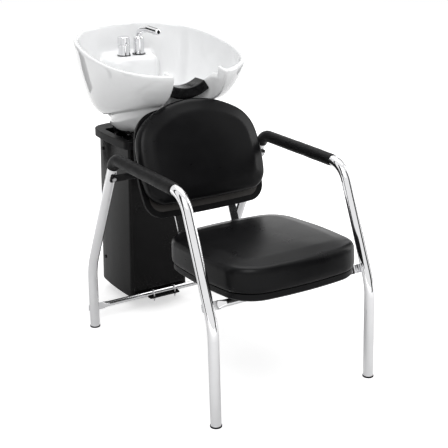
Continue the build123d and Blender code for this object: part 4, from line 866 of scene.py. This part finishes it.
def pale(tree):
    """Pale where light bounces, and with a glow that rises with distance where it is seen."""
    lit = put(tree, "ShaderNodeBsdfDiffuse", {"Color": FLOOR_COLOUR})
    place = put(tree, "ShaderNodeTexCoord").outputs["Object"]
    away = put(tree, "ShaderNodeVectorMath", {0: place}, operation="LENGTH")

    def rise(near, far, low):
        return put(tree, "ShaderNodeMapRange",
                   {"Value": away.outputs["Value"], "From Min": near, "From Max": far,
                    "To Min": low, "To Max": 1.0}, interpolation_type="SMOOTHSTEP").outputs[0]

    faced = put(tree, "ShaderNodeLightPath").outputs["Is Camera Ray"]
    strength = put(tree, "ShaderNodeMix", {FACTOR: faced, VALUE_A: rise(*MIRRORED_RISE),
                                           VALUE_B: rise(*SEEN_RISE)})
    glow = put(tree, "ShaderNodeEmission",
               {"Color": (1, 1, 1, 1), "Strength": strength.outputs[VALUE_OUT]})
    both = put(tree, "ShaderNodeAddShader", {0: lit.outputs[0], 1: glow.outputs[0]})
    mixed = put(tree, "ShaderNodeMixShader", {0: seen(tree), 1: lit.outputs[0],
                                              2: both.outputs[0]})
    return mixed.outputs[0]


def dark(tree):
    """A dark card that no lamp lights."""
    return put(tree, "ShaderNodeEmission", {"Color": FLAG_COLOUR}).outputs[0]


def flag_mesh(turn, away, width, low, high):
    """An upright card that faces the middle."""
    middle = Vector((away * math.sin(turn), away * math.cos(turn), (low + high) / 2))
    face_in = Vector((-middle.x, -middle.y, 0)).to_track_quat("Z", "Y")
    shape = bmesh.new()
    bmesh.ops.create_grid(shape, x_segments=1, y_segments=1, size=0.5)
    bmesh.ops.scale(shape, vec=(width, high - low, 1), verts=shape.verts)
    bmesh.ops.transform(shape, verts=shape.verts,
                        matrix=Matrix.Translation(middle) @ face_in.to_matrix().to_4x4())
    return poured("flag", shape)


class BACKWASH_OT_stage(bpy.types.Operator):
    """Pale floor, soft studio light, dark flags for mirrors to show, and the camera"""
    bl_idname = "backwash.stage"
    bl_label = "Stage"

    def execute(self, context):
        scene = context.scene
        studio = scene.backwash_studio
        set_camera(scene, studio)
        for settings in LAMPS:
            lamp(*settings)
        set_sky(scene, studio)

        shape = bmesh.new()
        bmesh.ops.create_circle(shape, cap_ends=True, segments=FLOOR_POINTS,
                                radius=FLOOR_RADIUS)
        mesh = poured("floor", shape)
        cast("floor", mesh, plain("floor", pale), smooth=False)

        card = plain("dark card", dark)
        for i, (turn, *sizes) in enumerate(FLAGS):
            flag = cast("flag_%d" % i, flag_mesh(math.radians(turn), *sizes), card,
                        smooth=False)
            flag.visible_camera = flag.visible_diffuse = flag.visible_shadow = False

        scene.view_settings.view_transform = "Standard"
        return {"FINISHED"}


class BACKWASH_PT_pieces(bpy.types.Panel):
    """Lists the unit's pieces and their sizes"""
    bl_label = "Backwash unit"
    bl_idname = "BACKWASH_PT_pieces"
    bl_space_type = "VIEW_3D"
    bl_region_type = "UI"
    bl_category = "Backwash"

    def draw(self, context):
        for group in GROUPS:
            sizes = getattr(context.scene, group)
            for name in sizes.__annotations__:
                self.layout.prop(sizes, name)
        for operator in OPERATORS:
            self.layout.operator(operator.bl_idname)


GROUPS = {"backwash_upholstery": Upholstery, "backwash_ceramic": Ceramic,
          "backwash_metals": Metals, "backwash_column": Column, "backwash_studio": Studio}
OPERATORS = (BACKWASH_OT_stage, BACKWASH_OT_steel_tubes, BACKWASH_OT_arm_sleeves,
             BACKWASH_OT_seat_cushion, BACKWASH_OT_backrest_cushion, BACKWASH_OT_bowl,
             BACKWASH_OT_neck_rest, BACKWASH_OT_taps, BACKWASH_OT_drain, BACKWASH_OT_column,
             BACKWASH_OT_column_core, BACKWASH_OT_fasteners)


CLASSES = (*GROUPS.values(), *OPERATORS, BACKWASH_PT_pieces)


def register():
    for cls in CLASSES:
        bpy.utils.register_class(cls)
    for name, cls in GROUPS.items():
        setattr(bpy.types.Scene, name, PointerProperty(type=cls))


def unregister():
    for name in GROUPS:
        delattr(bpy.types.Scene, name)
    for cls in reversed(CLASSES):
        bpy.utils.unregister_class(cls)


def main():
    register()
    for operator in OPERATORS:
        getattr(bpy.ops.backwash, operator.bl_idname.split(".")[1])()


if __name__ == "__main__":
    main()
